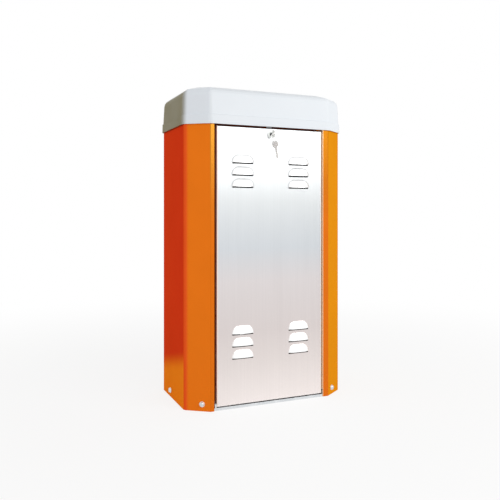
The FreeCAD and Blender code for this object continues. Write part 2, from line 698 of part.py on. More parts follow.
def keys():
    key = key_blank()
    key.translate(V(0, BOW_Y, LOCK_Z))
    reach = DOOR_Y + LOCK_BARREL_LENGTH - 4.5
    key = key.common(box(-5, 5, BOW_Y - 20, reach, LOCK_Z - 20, LOCK_Z + 20))
    ring = Part.makeTorus(RING_R, RING_WIRE_R, V(0, RING_Y, LOCK_Z - RING_R), Y_AXIS)
    spare = key_blank()
    spare.translate(V(0, KEY_HOLE_OFFSET, 0))
    spare.rotate(V(0, 0, 0), X_AXIS, -90)
    spare.rotate(V(0, 0, 0), Z_AXIS, SPARE_TWIST)
    spare.rotate(V(0, 0, 0), Y_AXIS, -SPARE_TILT)
    spare.translate(V(0, RING_Y, LOCK_Z - 2 * RING_R))
    add("key", key)
    add("key_ring", ring)
    add("spare_key", spare)


def anchor_places():
    return [(x, y) for x in (-ANCHOR_X, ANCHOR_X) for y in (-ANCHOR_Y, ANCHOR_Y)]


def foot_bolt_places():
    xs = (FOOT_X0 + FOOT_BOLT_INSET, FOOT_X1 - FOOT_BOLT_INSET)
    ys = (FOOT_Y0 + FOOT_BOLT_INSET, FOOT_Y1 - FOOT_BOLT_INSET)
    return [(x, y) for x in xs for y in ys]


def base_plate():
    """Thick plate inside the cabinet's foot, with four slots for the foundation's studs."""
    plate = cabinet_prism(SHEET + PLATE_GAP, 0, PLATE)
    plate = plate.cut(box(-300, 300, BACK_Y - 2 * SHEET - PLATE_GAP, BACK_Y, -1, PLATE + 1))
    for x, y in anchor_places():
        half = ANCHOR_SLOT_LENGTH / 2 - ANCHOR_SLOT_R
        slot = [box(x - half, x + half, y - ANCHOR_SLOT_R, y + ANCHOR_SLOT_R, -1, PLATE + 1)]
        slot += [rod_z(ANCHOR_SLOT_R, x + side * half, y, -1, PLATE + 1) for side in (-1, 1)]
        plate = plate.cut(fuse(slot))
    plate = plate.cut(rod_z(CABLE_HOLE_R, CABLE_X, CABLE_Y, -1, PLATE + 1))
    for x, y in foot_bolt_places():
        plate = plate.cut(rod_z(FOOT_BOLT_R, x, y, -1, PLATE + 1))
    return plate


def cable_grommet():
    """Rubber ring in the base plate's cable hole, with a lip on the upper side."""
    sleeve = ring_z(CABLE_HOLE_R, GROMMET_R, CABLE_X, CABLE_Y, 0, PLATE)
    lip = ring_z(CABLE_HOLE_R + GROMMET_LIP, GROMMET_R, CABLE_X, CABLE_Y, PLATE, PLATE + 4)
    return fuse([sleeve, lip])


def shell_lugs():
    """Blocks welded on the base plate, one behind each of the cabinet's foot screws."""
    lugs = []
    for point, outward in shell_screw_places():
        start = point - outward * SHEET
        across = V(-outward.y, outward.x, 0)
        corner = start - across * (LUG_WIDTH / 2)
        wire = Part.makePolygon([corner, corner + across * LUG_WIDTH,
                                 corner + across * LUG_WIDTH - outward * LUG_SIZE,
                                 corner - outward * LUG_SIZE, corner])
        lug = Part.Face(wire).extrude(V(0, 0, 2 * (SHELL_SCREW_Z - PLATE)))
        lug.translate(V(0, 0, PLATE - SHELL_SCREW_Z))
        hole = rod(SHELL_SCREW_R, tuple(point + outward), tuple(point - outward * 60))
        lugs.append(lug.cut(hole))
    return lugs


def shell_screws():
    """Flange-head screws: a round flange bears on the sheet, under a tapered head."""
    screws = []
    flange = Part.makeCylinder(WASHER_R, WASHER_THICK)
    cone = Part.makeCone(SHELL_HEAD_R, SHELL_HEAD_R * 0.6, SHELL_HEAD, V(0, 0, WASHER_THICK))
    shank = Part.makeCylinder(SHELL_SCREW_R, 18, V(0, 0, -18))
    screw = fuse([flange, cone, shank])
    for point, outward in shell_screw_places():
        screws.append(placed(screw, tuple(point), tuple(outward)))
    return screws


def gearbox_housing():
    """Cast housing: wheel chamber, upright worm barrel, motor flange, pedestal and foot."""
    chamber = rod_y(CHAMBER_R + CHAMBER_WALL, 0, OUTPUT_Z, CHAMBER_FRONT, HOUSING_REAR)
    barrel_r = WORM_BORE_R + WORM_WALL
    flange_foot = FLANGE_TOP - FLANGE_THICK
    barrel = rod_z(barrel_r, WORM_X, WHEEL_Y, WORM_FLOOR - 6, flange_foot)
    flange = rod_z(FLANGE_R, WORM_X, WHEEL_Y, flange_foot, FLANGE_TOP)
    foot_top = PLATE + FOOT_THICK
    foot = box(FOOT_X0, FOOT_X1, FOOT_Y0, FOOT_Y1, PLATE, foot_top)
    corners = [edge for edge in foot.Edges if edge.BoundBox.ZLength > FOOT_THICK - 0.1]
    foot = foot.makeFillet(10, corners)
    webs = [box(-46, 46, WHEEL_Y - 18, WHEEL_Y + 18, foot_top, OUTPUT_Z - 30),
            box(WORM_X - 22, WORM_X + 22, WHEEL_Y - 22, WHEEL_Y + 22, foot_top, WORM_FLOOR)]
    for x in (-30, 30):
        webs.append(box(x - 4, x + 4, FOOT_Y0 + 16, HOUSING_REAR, foot_top, OUTPUT_Z - 40))
    gussets = []
    for angle in (-45, 45, 135, 225):
        wedge = Part.makePolygon([V(barrel_r - 3, -3, flange_foot), V(FLANGE_R - 8, -3, flange_foot),
                                  V(barrel_r - 3, -3, flange_foot - 34), V(barrel_r - 3, -3, flange_foot)])
        wedge = Part.Face(wedge).extrude(V(0, 6, 0))
        wedge.rotate(V(0, 0, 0), Z_AXIS, angle)
        wedge.translate(V(WORM_X, WHEEL_Y, 0))
        gussets.append(wedge)
    boss = rod_y(REAR_BOSS_R, 0, OUTPUT_Z, HOUSING_REAR, BOSS_REAR)
    pad_half = SWITCH_WIDTH / 2 - 2
    pad = box(SWITCH_X - pad_half, SWITCH_X + pad_half, HOUSING_REAR - 22, HOUSING_REAR,
              OUTPUT_Z + 30, SWITCH_FOOT)
    body = fuse([chamber, barrel, flange, foot, boss, pad] + webs + gussets)
    cover_room = rod_y(CHAMBER_R + CHAMBER_WALL + 1, 0, OUTPUT_Z, FOOT_Y0 - 20, CHAMBER_FRONT)
    body = body.cut(cover_room)
    body = body.cut(rod_y(CHAMBER_R, 0, OUTPUT_Z, CHAMBER_FRONT - 1, CHAMBER_REAR))
    body = body.cut(rod_z(WORM_BORE_R, WORM_X, WHEEL_Y, WORM_FLOOR, FLANGE_TOP + 1))
    body = body.cut(rod_y(REAR_BEARING_R, 0, OUTPUT_Z, CHAMBER_REAR - 1, BOSS_REAR + 1))
    for x, z in cover_screw_places():
        body = body.cut(rod_y(COVER_SCREW_R, x, z, CHAMBER_FRONT - 1, CHAMBER_FRONT + 14))
    for x, y in motor_bolt_places():
        body = body.cut(rod_z(4.0, x, y, flange_foot - 1, FLANGE_TOP + 1))
    for x, y in foot_bolt_places():
        body = body.cut(rod_z(FOOT_BOLT_R, x, y, PLATE - 1, foot_top + 1))
    point, outward = oil_plug_place()
    seat = rod(OIL_PLUG_R + 5, tuple(point - outward * (OIL_PLUG_BOSS + 4)), tuple(point))
    body = body.fuse(seat)
    return body.cut(rod(OIL_PLUG_R, tuple(point + outward), tuple(point - outward * 20)))


def oil_plug_place():
    """The plug's seat on top of the wheel chamber, left of its crown, and the way out of it."""
    outward = V(-math.sin(math.radians(OIL_PLUG_LEAN)), 0, math.cos(math.radians(OIL_PLUG_LEAN)))
    reach = CHAMBER_R + CHAMBER_WALL + OIL_PLUG_BOSS
    return V(0, OIL_PLUG_Y, OUTPUT_Z) + outward * reach, outward


def cover_screw_places():
    places = []
    for i in range(COVER_SCREWS):
        angle = math.radians(30 + 360 / COVER_SCREWS * i)
        places.append((COVER_SCREW_CIRCLE * math.cos(angle), OUTPUT_Z + COVER_SCREW_CIRCLE * math.sin(angle)))
    return places


def motor_bolt_places():
    places = []
    for i in range(4):
        angle = math.radians(90 * i)
        places.append((WORM_X + MOTOR_BOLT_CIRCLE * math.cos(angle),
                       WHEEL_Y + MOTOR_BOLT_CIRCLE * math.sin(angle)))
    return places


def gearbox_cover():
    """Front cover with the boss that holds the output shaft's front bearing."""
    y0 = CHAMBER_FRONT - COVER_THICK
    disc = rod_y(CHAMBER_R + CHAMBER_WALL, 0, OUTPUT_Z, y0, CHAMBER_FRONT)
    boss = rod_y(COVER_BOSS_R, 0, OUTPUT_Z, y0 - COVER_BOSS, y0)
    spigot = rod_y(CHAMBER_R - 0.1, 0, OUTPUT_Z, CHAMBER_FRONT, CHAMBER_FRONT + 4)
    ribs = []
    for i in range(COVER_SCREWS):
        rib = box(COVER_BOSS_R - 3, CHAMBER_R + 6, y0 - 5, y0, -2.5, 2.5)
        rib.rotate(V(0, 0, 0), Y_AXIS, 360 / COVER_SCREWS * i)
        rib.translate(V(0, 0, OUTPUT_Z))
        ribs.append(rib)
    cover = fuse([disc, boss, spigot] + ribs)
    cover = cover.cut(rod_y(FRONT_BEARING_R, 0, OUTPUT_Z, CHAMBER_FRONT - FRONT_BEARING, CHAMBER_FRONT + 5))
    cover = cover.cut(rod_y(FRONT_BEARING_R - 4, 0, OUTPUT_Z, y0 - COVER_BOSS + 4, CHAMBER_FRONT))
    cover = cover.cut(rod_y(SPINDLE_R + 0.05, 0, OUTPUT_Z, y0 - COVER_BOSS - 1, CHAMBER_FRONT))
    for x, z in cover_screw_places():
        cover = cover.cut(rod_y(COVER_SCREW_R + 0.2, x, z, y0 - 1, CHAMBER_FRONT + 1))
    return cover


def hex_bolt(radius, flats, head, length):
    """Hexagon bolt along +Z with the underside of its head on the XY plane, shank below."""
    return hex_prism(flats, head).fuse(Part.makeCylinder(radius, length, V(0, 0, -length)))


def bearing(inner, outer, width):
    """Sealed ball bearing along +Z, its races and seals as one ring."""
    return Part.makeCylinder(outer, width).cut(Part.makeCylinder(inner, width))


def gear_profile(teeth, module, thin, y, curved):
    """Gear outline in the XZ plane. Its flanks are involutes, as curves or in two straight facets."""
    pitch = module * teeth / 2
    base = pitch * math.cos(math.radians(PRESSURE))
    tip = pitch + module
    root = pitch - 1.25 * module
    half_pitch = math.pi / (2 * teeth) - thin / pitch
    pitch_roll = math.sqrt((pitch / base) ** 2 - 1)
    pitch_angle = pitch_roll - math.atan(pitch_roll)

    def at(radius, angle):
        return V(radius * math.cos(angle), y, radius * math.sin(angle))

    def half_tooth(radius):
        if radius <= base:
            return half_pitch + pitch_angle
        roll = math.sqrt((radius / base) ** 2 - 1)
        return half_pitch + pitch_angle - (roll - math.atan(roll))
    low = max(root + 0.02, base)
    radii = [low, (low + pitch) / 2, pitch, tip] if curved else [low, pitch, tip]
    edges = []
    for i in range(teeth):
        middle = 2 * math.pi * (i + 0.5) / teeth
        after = 2 * math.pi * (i + 1.5) / teeth
        rising = [at(radius, middle - half_tooth(radius)) for radius in radii]
        falling = [at(radius, middle + half_tooth(radius)) for radius in reversed(radii)]
        foot = at(root, middle + half_tooth(root))
        next_foot = at(root, after - half_tooth(root))
        next_rise = at(low, after - half_tooth(low))
        edges += flank(rising, curved)
        edges.append(Part.LineSegment(rising[-1], falling[0]).toShape())
        edges += flank(falling, curved)
        edges.append(Part.LineSegment(falling[-1], foot).toShape())
        edges.append(Part.LineSegment(foot, next_foot).toShape())
        edges.append(Part.LineSegment(next_foot, next_rise).toShape())
    return Part.Wire(edges)


def flank(points, curved):
    if not curved:
        return [Part.LineSegment(points[i], points[i + 1]).toShape() for i in range(len(points) - 1)]
    curve = Part.BSplineCurve()
    curve.interpolate(points)
    return [curve.toShape()]


def worm_wheel():
    """Bronze wheel whose teeth are cut at the worm's lead angle, on a keyed hub."""
    slant = math.degrees(WORM_LEAD / (2 * math.pi * WORM_PITCH_R) * WHEEL_WIDTH / 2 / WHEEL_R)
    half = WHEEL_WIDTH / 2
    front = gear_profile(WHEEL_TEETH, MODULE_WORM, WORM_BACKLASH / 2, WHEEL_Y - half, False)
    rear = gear_profile(WHEEL_TEETH, MODULE_WORM, WORM_BACKLASH / 2, WHEEL_Y + half, False)
    front.rotate(V(0, 0, 0), Y_AXIS, -slant)
    rear.rotate(V(0, 0, 0), Y_AXIS, slant)
    rim = Part.makeLoft([front, rear], True, True)
    hub_half = WHEEL_HUB_WIDTH / 2
    hub = rod_y(WHEEL_HUB_R, 0, 0, WHEEL_Y - hub_half, WHEEL_Y + hub_half)
    for y0 in (WHEEL_Y - WHEEL_WIDTH / 2 - 1, WHEEL_Y + WHEEL_WIDTH / 2 - 5):
        rim = rim.cut(ring_y(WHEEL_R - 9, WHEEL_HUB_R, 0, 0, y0, y0 + 6))
    wheel = rim.fuse(hub).cut(rod_y(SHAFT_WHEEL_R, 0, 0, 0, BACK_Y))
    wheel.translate(V(0, 0, OUTPUT_Z))
    return wheel


def worm_shaft():
    """Motor shaft and worm in one piece, with the seats of its three bearings."""
    root = WORM_PITCH_R - 1.2 * MODULE_WORM
    tip = WORM_PITCH_R + MODULE_WORM
    slope = math.tan(math.radians(PRESSURE))
    half = WORM_LEAD / 4 - WORM_BACKLASH
    foot = root - 0.7
    foot_half = half + (WORM_PITCH_R - foot) * slope
    tip_half = half - MODULE_WORM * slope
    turns = int(WORM_LENGTH / WORM_LEAD)
    start = OUTPUT_Z - WORM_LEAD * turns / 2
    points = [V(foot, 0, -foot_half), V(tip, 0, -tip_half), V(tip, 0, tip_half), V(foot, 0, foot_half)]
    thread = Part.makeHelix(WORM_LEAD, WORM_LEAD * turns, root).makePipeShell(
        [Part.makePolygon(points + points[:1])], True, True)
    thread.translate(V(0, 0, start + (0 if turns % 2 else WORM_LEAD / 2)))
    steps = [(WORM_JOURNAL_R, WORM_FLOOR + 2, WORM_FLOOR + 17), (root, WORM_FLOOR + 17, 156),
             (WORM_JOURNAL_R, 156, 196), (14, 196, CORE_TOP + 20),
             (ROTOR_JOURNAL_R, CORE_TOP + 20, FAN_FOOT - 4),
             (FAN_BORE_R, FAN_FOOT - 4, FAN_FOOT + FAN_HEIGHT + 4)]
    core = [rod_z(radius, 0, 0, z0, z1) for radius, z0, z1 in steps]
    shaft = fuse(core + [thread])
    shaft.translate(V(WORM_X, WHEEL_Y, 0))
    return shaft


def output_shaft():
    """Stepped shaft: front bearing seat, wheel seat, rear bearing seat and pinion seat."""
    collar_front = WHEEL_Y - WHEEL_HUB_WIDTH / 2 - 10
    steps = [(SHAFT_FRONT_R, CHAMBER_FRONT - FRONT_BEARING, collar_front),
             (SHAFT_WHEEL_R + 4, collar_front, collar_front + 10),
             (SHAFT_WHEEL_R, collar_front + 10, CHAMBER_REAR - 2),
             (SHAFT_REAR_R, CHAMBER_REAR - 2, BOSS_REAR + 3),
             (SHAFT_PINION_R, BOSS_REAR + 3, PINION_END - 0.5)]
    shaft = fuse([rod_y(radius, 0, OUTPUT_Z, y0, y1) for radius, y0, y1 in steps])
    shaft = shaft.cut(rod_y(SPINDLE_R + 0.4, 0, OUTPUT_Z, 0, CHAMBER_FRONT + 10))
    key_z = OUTPUT_Z + SHAFT_PINION_R - KEYWAY_DEPTH
    shaft = shaft.cut(box(-KEYWAY / 2, KEYWAY / 2, PINION_START, PINION_END, key_z, key_z + 12))
    return shaft.cut(rod_y(4.2, 0, OUTPUT_Z, PINION_END - 26, PINION_END))


def pinion():
    profile = gear_profile(PINION_TEETH, PINION_MODULE, 0.1, PINION_START, True)
    gear = Part.Face(profile).extrude(V(0, PINION_WIDTH, 0))
    hub = rod_y(PINION_HUB_R, 0, 0, PINION_START - PINION_HUB, PINION_START)
    gear = gear.fuse(hub)
    gear.translate(V(0, 0, OUTPUT_Z))
    gear = gear.cut(rod_y(SHAFT_PINION_R, 0, OUTPUT_Z, 0, PINION_END + 1))
    top = OUTPUT_Z + SHAFT_PINION_R + 3.3
    return gear.cut(box(-KEYWAY / 2, KEYWAY / 2, 0, PINION_END + 1, OUTPUT_Z, top))


def pinion_fastening():
    key_z = OUTPUT_Z + SHAFT_PINION_R - KEYWAY_DEPTH
    key = box(-KEYWAY / 2, KEYWAY / 2, PINION_START, PINION_END - 1, key_z, key_z + 7)
    washer = ring_y(20, 4.2, 0, OUTPUT_Z, PINION_END, PINION_END + 3)
    bolt = placed(hex_bolt(4.0, 13, 5.3, 25), (0, PINION_END + 3, OUTPUT_Z), (0, 1, 0))
    return key, washer, bolt


def motor_housing():
    """Finned motor frame with its mounting flange."""
    z0 = FLANGE_TOP
    flange = rod_z(FLANGE_R, WORM_X, WHEEL_Y, z0, z0 + MOTOR_FLANGE)
    barrel = rod_z(MOTOR_R, WORM_X, WHEEL_Y, z0 + MOTOR_FLANGE, MOTOR_TOP)
    fins = []
    for i in range(FIN_COUNT):
        angle = 360 / FIN_COUNT * (i + 0.5)
        if 225 < angle < 315:
            continue
        fin = box(MOTOR_R - 2, FIN_R, -FIN_THICK / 2, FIN_THICK / 2, z0 + MOTOR_FLANGE + 12, MOTOR_TOP - 8)
        fin.rotate(V(0, 0, 0), Z_AXIS, angle)
        fin.translate(V(WORM_X, WHEEL_Y, 0))
        fins.append(fin)
    saddle_half = TERMINAL_HALF + 2
    saddle = box(WORM_X - saddle_half, WORM_X + saddle_half, WHEEL_Y - MOTOR_R - SADDLE, WHEEL_Y - 40,
                 TERMINAL_FOOT - 2, TERMINAL_HEAD + 2)
    body = fuse([flange, barrel, saddle] + fins)
    body = body.cut(rod_z(MOTOR_BORE_R, WORM_X, WHEEL_Y, z0 + MOTOR_FLANGE, MOTOR_TOP + 1))
    body = body.cut(rod_z(20, WORM_X, WHEEL_Y, z0 - 1, z0 + MOTOR_FLANGE + 1))
    for x, y in motor_bolt_places():
        body = body.cut(rod_z(4.0, x, y, z0 - 1, z0 + MOTOR_FLANGE + 1))
        body = body.cut(rod_z(8.0, x, y, z0 + MOTOR_FLANGE, z0 + MOTOR_FLANGE + 14))
    return body


def terminal_box():
    """Box on the motor's saddle, open to the front, and its lid."""
    y1 = WHEEL_Y - MOTOR_R - SADDLE
    y0 = y1 - TERMINAL_DEPTH
    half = TERMINAL_HALF
    wall = TERMINAL_WALL
    tub = box(WORM_X - half, WORM_X + half, y0, y1, TERMINAL_FOOT, TERMINAL_HEAD)
    edges = [edge for edge in tub.Edges if edge.BoundBox.YLength > TERMINAL_DEPTH - 1]
    tub = tub.makeFillet(2 * wall, edges)
    tub = tub.cut(box(WORM_X - half + wall, WORM_X + half - wall, y0 - 1, y1 - wall, TERMINAL_FOOT + wall,
                      TERMINAL_HEAD - wall))
    lid = box(WORM_X - half - 1, WORM_X + half + 1, y0 - TERMINAL_LID, y0, TERMINAL_FOOT - 1,
              TERMINAL_HEAD + 1)
    edges = [edge for edge in lid.Edges if edge.BoundBox.YLength > TERMINAL_LID - 1]
    return tub, lid.makeFillet(2 * wall, edges)


def fan_cowl():
    cup = rod_z(COWL_R, WORM_X, WHEEL_Y, COWL_FOOT, COWL_TOP)
    rim = [edge for edge in cup.Edges if edge.BoundBox.ZMin > COWL_TOP - 0.1]
    cup = cup.makeChamfer(6, rim)
    cup = cup.cut(rod_z(COWL_R - COWL_WALL, WORM_X, WHEEL_Y, COWL_FOOT - 1, COWL_TOP - 7))
    for i in range(COWL_SLOTS):
        slot = box(20, 56, -4, 4, COWL_TOP - 9, COWL_TOP + 1)
        slot.rotate(V(0, 0, 0), Z_AXIS, 360 / COWL_SLOTS * i)
        slot.translate(V(WORM_X, WHEEL_Y, 0))
        cup = cup.cut(slot)
    return cup


def cooling_fan():
    hub = ring_z(2 * FAN_BORE_R, FAN_BORE_R, 0, 0, FAN_FOOT, FAN_FOOT + FAN_HEIGHT)
    plate = ring_z(FAN_R - 2, FAN_BORE_R, 0, 0, FAN_FOOT, FAN_FOOT + FAN_WEB)
    blades = []
    for i in range(FAN_BLADES):
        blade = box(2 * FAN_BORE_R - 1, FAN_R, -FAN_WEB / 2, FAN_WEB / 2, FAN_FOOT, FAN_FOOT + FAN_HEIGHT - 2)
        blade.rotate(V(0, 0, 0), Z_AXIS, 360 / FAN_BLADES * i)
        blades.append(blade)
    fan = fuse([hub, plate] + blades)
    fan.translate(V(WORM_X, WHEEL_Y, 0))
    return fan


def end_shield():
    disc = rod_z(END_SHIELD_R, WORM_X, WHEEL_Y, MOTOR_TOP, MOTOR_TOP + 12)
    spigot = rod_z(MOTOR_BORE_R - 0.1, WORM_X, WHEEL_Y, MOTOR_TOP - 6, MOTOR_TOP)
    shield = disc.fuse(spigot)
    shield = shield.cut(rod_z(ROTOR_BEARING_R, WORM_X, WHEEL_Y, MOTOR_TOP + 2, MOTOR_TOP + 13))
    return shield.cut(rod_z(15, WORM_X, WHEEL_Y, MOTOR_TOP - 7, MOTOR_TOP + 3))


def release_parts():
    """Quarter-turn lever whose spindle works the clutch inside the output shaft."""
    front = CHAMBER_FRONT - COVER_THICK - COVER_BOSS
    hub_y0 = front - 18
    hub = rod_y(LEVER_HUB_R, 0, OUTPUT_Z, hub_y0, front - 1)
    spindle = rod_y(SPINDLE_R, 0, OUTPUT_Z, hub_y0 + 4, CHAMBER_FRONT + 8)
    arm = box(0, LEVER_LENGTH, hub_y0 + 3, hub_y0 + 11, -8, 8)
    arm_edges = [edge for edge in arm.Edges if edge.BoundBox.XLength > LEVER_LENGTH - 1]
    arm = arm.makeFillet(2.5, arm_edges)
    arm.rotate(V(0, 0, 0), Y_AXIS, -LEVER_REST)
    arm.translate(V(0, 0, OUTPUT_Z))
    angle = math.radians(LEVER_REST)
    end_x = LEVER_LENGTH * math.cos(angle)
    end_z = OUTPUT_Z + LEVER_LENGTH * math.sin(angle)
    lever = fuse([hub, arm, spindle])
    grip = rod_y(LEVER_GRIP_R, end_x, end_z, hub_y0 - 22, hub_y0 + 14)
    rims = [edge for edge in grip.Edges if edge.Curve.TypeId == "Part::GeomCircle"]
    grip = grip.makeChamfer(4, rims)
    stem = rod_y(5, end_x, end_z, hub_y0 - 14, hub_y0 + 14)
    return lever.cut(rod_y(LEVER_GRIP_R, end_x, end_z, hub_y0 - 22, hub_y0 + 14)).fuse(stem), grip.cut(stem)


def limit_switch():
    half = SWITCH_WIDTH / 2
    z0 = SWITCH_FOOT
    z1 = z0 + SWITCH_HEIGHT
    body = box(SWITCH_X - half, SWITCH_X + half, SWITCH_FRONT, SWITCH_REAR, z0, z1)
    edges = [edge for edge in body.Edges if edge.BoundBox.ZLength > SWITCH_HEIGHT - 1]
    body = body.makeFillet(4, edges)
    middle = (z0 + z1) / 2
    jaw = FEELER_Y - FEELER_HUB_R - 2
    body = body.cut(box(SWITCH_X - half - 1, SWITCH_X + half + 1, jaw, SWITCH_REAR + 1, middle - 7.3,
                        middle + 7.3))
    body = body.cut(rod_z(2.0, SWITCH_X, FEELER_Y, z0 + 5, z1 - 5))
    pin = rod_z(2.0, SWITCH_X, FEELER_Y, z0 + 5, z1 - 5)
    hub = rod_z(FEELER_HUB_R, SWITCH_X, FEELER_Y, middle - 7, middle + 7)
    socket = rod_y(5.5, SWITCH_X, middle, FEELER_Y + 3, FEELER_Y + 16)
    hub = fuse([hub, socket]).cut(rod_z(2.05, SWITCH_X, FEELER_Y, z0, z1))
    spring_end = FEELER_Y + 16 + FEELER_SPRING
    spring = rod_y(5.0, SWITCH_X, middle, FEELER_Y + 16, spring_end)
    tip = rod_y(2.5, SWITCH_X, middle, spring_end, FEELER_Y + FEELER_REACH - 5)
    knob = Part.makeSphere(5, V(SWITCH_X, FEELER_Y + FEELER_REACH - 5, middle))
    return body, pin, hub, spring, tip.fuse(knob)


def control_plate():
    """Sheet across the cabinet, folded forward at both ends against the sides."""
    reach = HALF_WIDTH - SHEET - 0.2
    plate = box(-reach, reach, CONTROL_Y, CONTROL_Y + SHEET, CONTROL_FOOT, CONTROL_TOP)
    ends = [box(-reach, -reach + SHEET, CONTROL_Y, CONTROL_Y + 26, CONTROL_FOOT, CONTROL_TOP),
            box(reach - SHEET, reach, CONTROL_Y, CONTROL_Y + 26, CONTROL_FOOT, CONTROL_TOP)]
    return fuse([plate] + ends)


def enclosure():
    y0 = CONTROL_Y - ENCLOSURE_DEPTH
    tub = box(-ENCLOSURE_HALF, ENCLOSURE_HALF, y0, CONTROL_Y, ENCLOSURE_FOOT, ENCLOSURE_TOP)
    edges = [edge for edge in tub.Edges if edge.BoundBox.YLength > ENCLOSURE_DEPTH - 1]
    tub = tub.makeFillet(8, edges)
    wall = ENCLOSURE_WALL
    tub = tub.cut(box(-ENCLOSURE_HALF + wall, ENCLOSURE_HALF - wall, y0 - 1, CONTROL_Y - wall,
                      ENCLOSURE_FOOT + wall, ENCLOSURE_TOP - wall))
    lid = box(-ENCLOSURE_HALF - 1, ENCLOSURE_HALF + 1, y0 - LID_THICK, y0, ENCLOSURE_FOOT - 1,
              ENCLOSURE_TOP + 1)
    edges = [edge for edge in lid.Edges if edge.BoundBox.YLength > LID_THICK - 1]
    lid = lid.makeFillet(9, edges)
    screws = []
    for x in (-ENCLOSURE_HALF + 14, ENCLOSURE_HALF - 14):
        for z in (ENCLOSURE_FOOT + 14, ENCLOSURE_TOP - 14):
            hole = rod_y(5, x, z, y0 - LID_THICK - 1, y0 - LID_THICK + 4)
            lid = lid.cut(hole)
            screws.append(rod_y(4.8, x, z, y0 - LID_THICK + 0.6, y0 - LID_THICK + 4))
    return tub, lid, screws


def electronics():
    """Board on posts in the case, and what stands on it, laid out in shares of its size."""
    board_y = CONTROL_Y - ENCLOSURE_WALL - BOARD_POST
    half = ENCLOSURE_HALF - BOARD_SIDE_GAP
    foot = ENCLOSURE_FOOT + BOARD_FOOT_GAP
    head = ENCLOSURE_TOP - BOARD_HEAD_GAP
    tall = head - foot

    def part(x0, x1, height, z0, z1):
        return box(half * x0, half * x1, board_y - height, board_y, foot + tall * z0, foot + tall * z1)
    board = box(-half, half, board_y, board_y + BOARD_THICK, foot, head)
    posts = []
    for x in (-0.91 * half, 0.91 * half):
        for z in (foot + 0.05 * tall, head - 0.05 * tall):
            posts.append(rod_y(4, x, z, board_y + BOARD_THICK, CONTROL_Y - ENCLOSURE_WALL))
    core = part(-0.86, -0.32, 2.2 * BOARD_POST, 0.58, 0.92)
    coil = part(-0.8, -0.38, 2.5 * BOARD_POST, 0.64, 0.86)
    transformer = fuse([core, coil])
    relays = [part(-0.09 + 0.24 * i, 0.075 + 0.24 * i, 0.9 * BOARD_POST, 0.7, 0.855) for i in range(3)]
    blocks = [part(-0.89 + 0.127 * i, -0.767 + 0.127 * i, 0.85 * BOARD_POST, 0.03, 0.12) for i in range(14)]
    caps = [rod_y(0.05 * tall, 0.73 * half, foot + tall * z, board_y - 1.7 * BOARD_POST, board_y)
            for z in (0.55, 0.7)]
    return board, posts, transformer, relays, blocks, caps


def isolator():
    """Mains isolator with a turning knob, and the base that it is snapped on."""
    body = box(ISOLATOR_X - 30, ISOLATOR_X + 30, CONTROL_Y - 48, CONTROL_Y, ISOLATOR_Z - 36, ISOLATOR_Z + 36)
    edges = [edge for edge in body.Edges if edge.BoundBox.YLength > 47]
    body = body.makeFillet(5, edges)
    body = body.cut(rod_y(6.05, ISOLATOR_X, ISOLATOR_Z, CONTROL_Y - 49, CONTROL_Y - 36))
    knob_y = CONTROL_Y - 48.5
    disc = rod_y(19, ISOLATOR_X, ISOLATOR_Z, knob_y - 6, knob_y)
    grip = box(ISOLATOR_X - 4.5, ISOLATOR_X + 4.5, knob_y - 20, knob_y - 6, ISOLATOR_Z - 18, ISOLATOR_Z + 18)
    stem = rod_y(6, ISOLATOR_X, ISOLATOR_Z, knob_y, CONTROL_Y - 37)
    return body, fuse([disc, grip, stem])


def capacitor():
    y = CONTROL_Y - CAPACITOR_R - 2
    foot = ISOLATOR_Z - CAPACITOR_HEIGHT / 2
    head = ISOLATOR_Z + CAPACITOR_HEIGHT / 2
    can = rod_z(CAPACITOR_R, CAPACITOR_X, y, foot, head)
    tabs = [box(CAPACITOR_X + x - 1, CAPACITOR_X + x + 1, y - 3, y + 3, head, head + 10) for x in (-7, 7)]
    can = fuse([can] + tabs)
    band = (ISOLATOR_Z - CLAMP_HEIGHT / 2, ISOLATOR_Z + CLAMP_HEIGHT / 2)
    clamp = ring_z(CAPACITOR_R + 2, CAPACITOR_R, CAPACITOR_X, y, *band)
    reach = CAPACITOR_R + CLAMP_EAR
    ears = box(CAPACITOR_X - reach, CAPACITOR_X + reach, CONTROL_Y - 2, CONTROL_Y, *band)
    ears = ears.cut(rod_z(CAPACITOR_R, CAPACITOR_X, y, foot, head))
    return can, fuse([clamp, ears])


def cable_glands():
    glands = []
    y = CONTROL_Y - 44
    for x in (-90, -30, 30, 90):
        nut = hex_prism(24, 10)
        nut.translate(V(x, y, ENCLOSURE_FOOT - 10))
        glands.append(nut.fuse(Part.makeCone(8, 11, 12, V(x, y, ENCLOSURE_FOOT - 22))))
    return glands


# Cabinet
add("base_plate", base_plate())
add("cable_grommet", cable_grommet())
add("shell_lugs", *shell_lugs())
add("left_panel", side_panel(OPENING_LEFT))
add("right_panel", mirrored(side_panel(OPENING_HALF)))
add("back_panel", back_panel())
add("top_frame", top_frame())
add("lock_keeper", lock_keeper())
add("door_seal", door_seal())
add("door_pivot_brackets", *pivot_brackets())
add("shell_screws", *shell_screws())
add("hood", hood())
add("panel_screws", *back_panel_screws(), *hood_screws())

# Door, lock and keys
add("door", door())
add("door_stiffeners", *door_stiffeners())
add("door_pivot_pins", *door_pivots())
lock_parts()
keys()

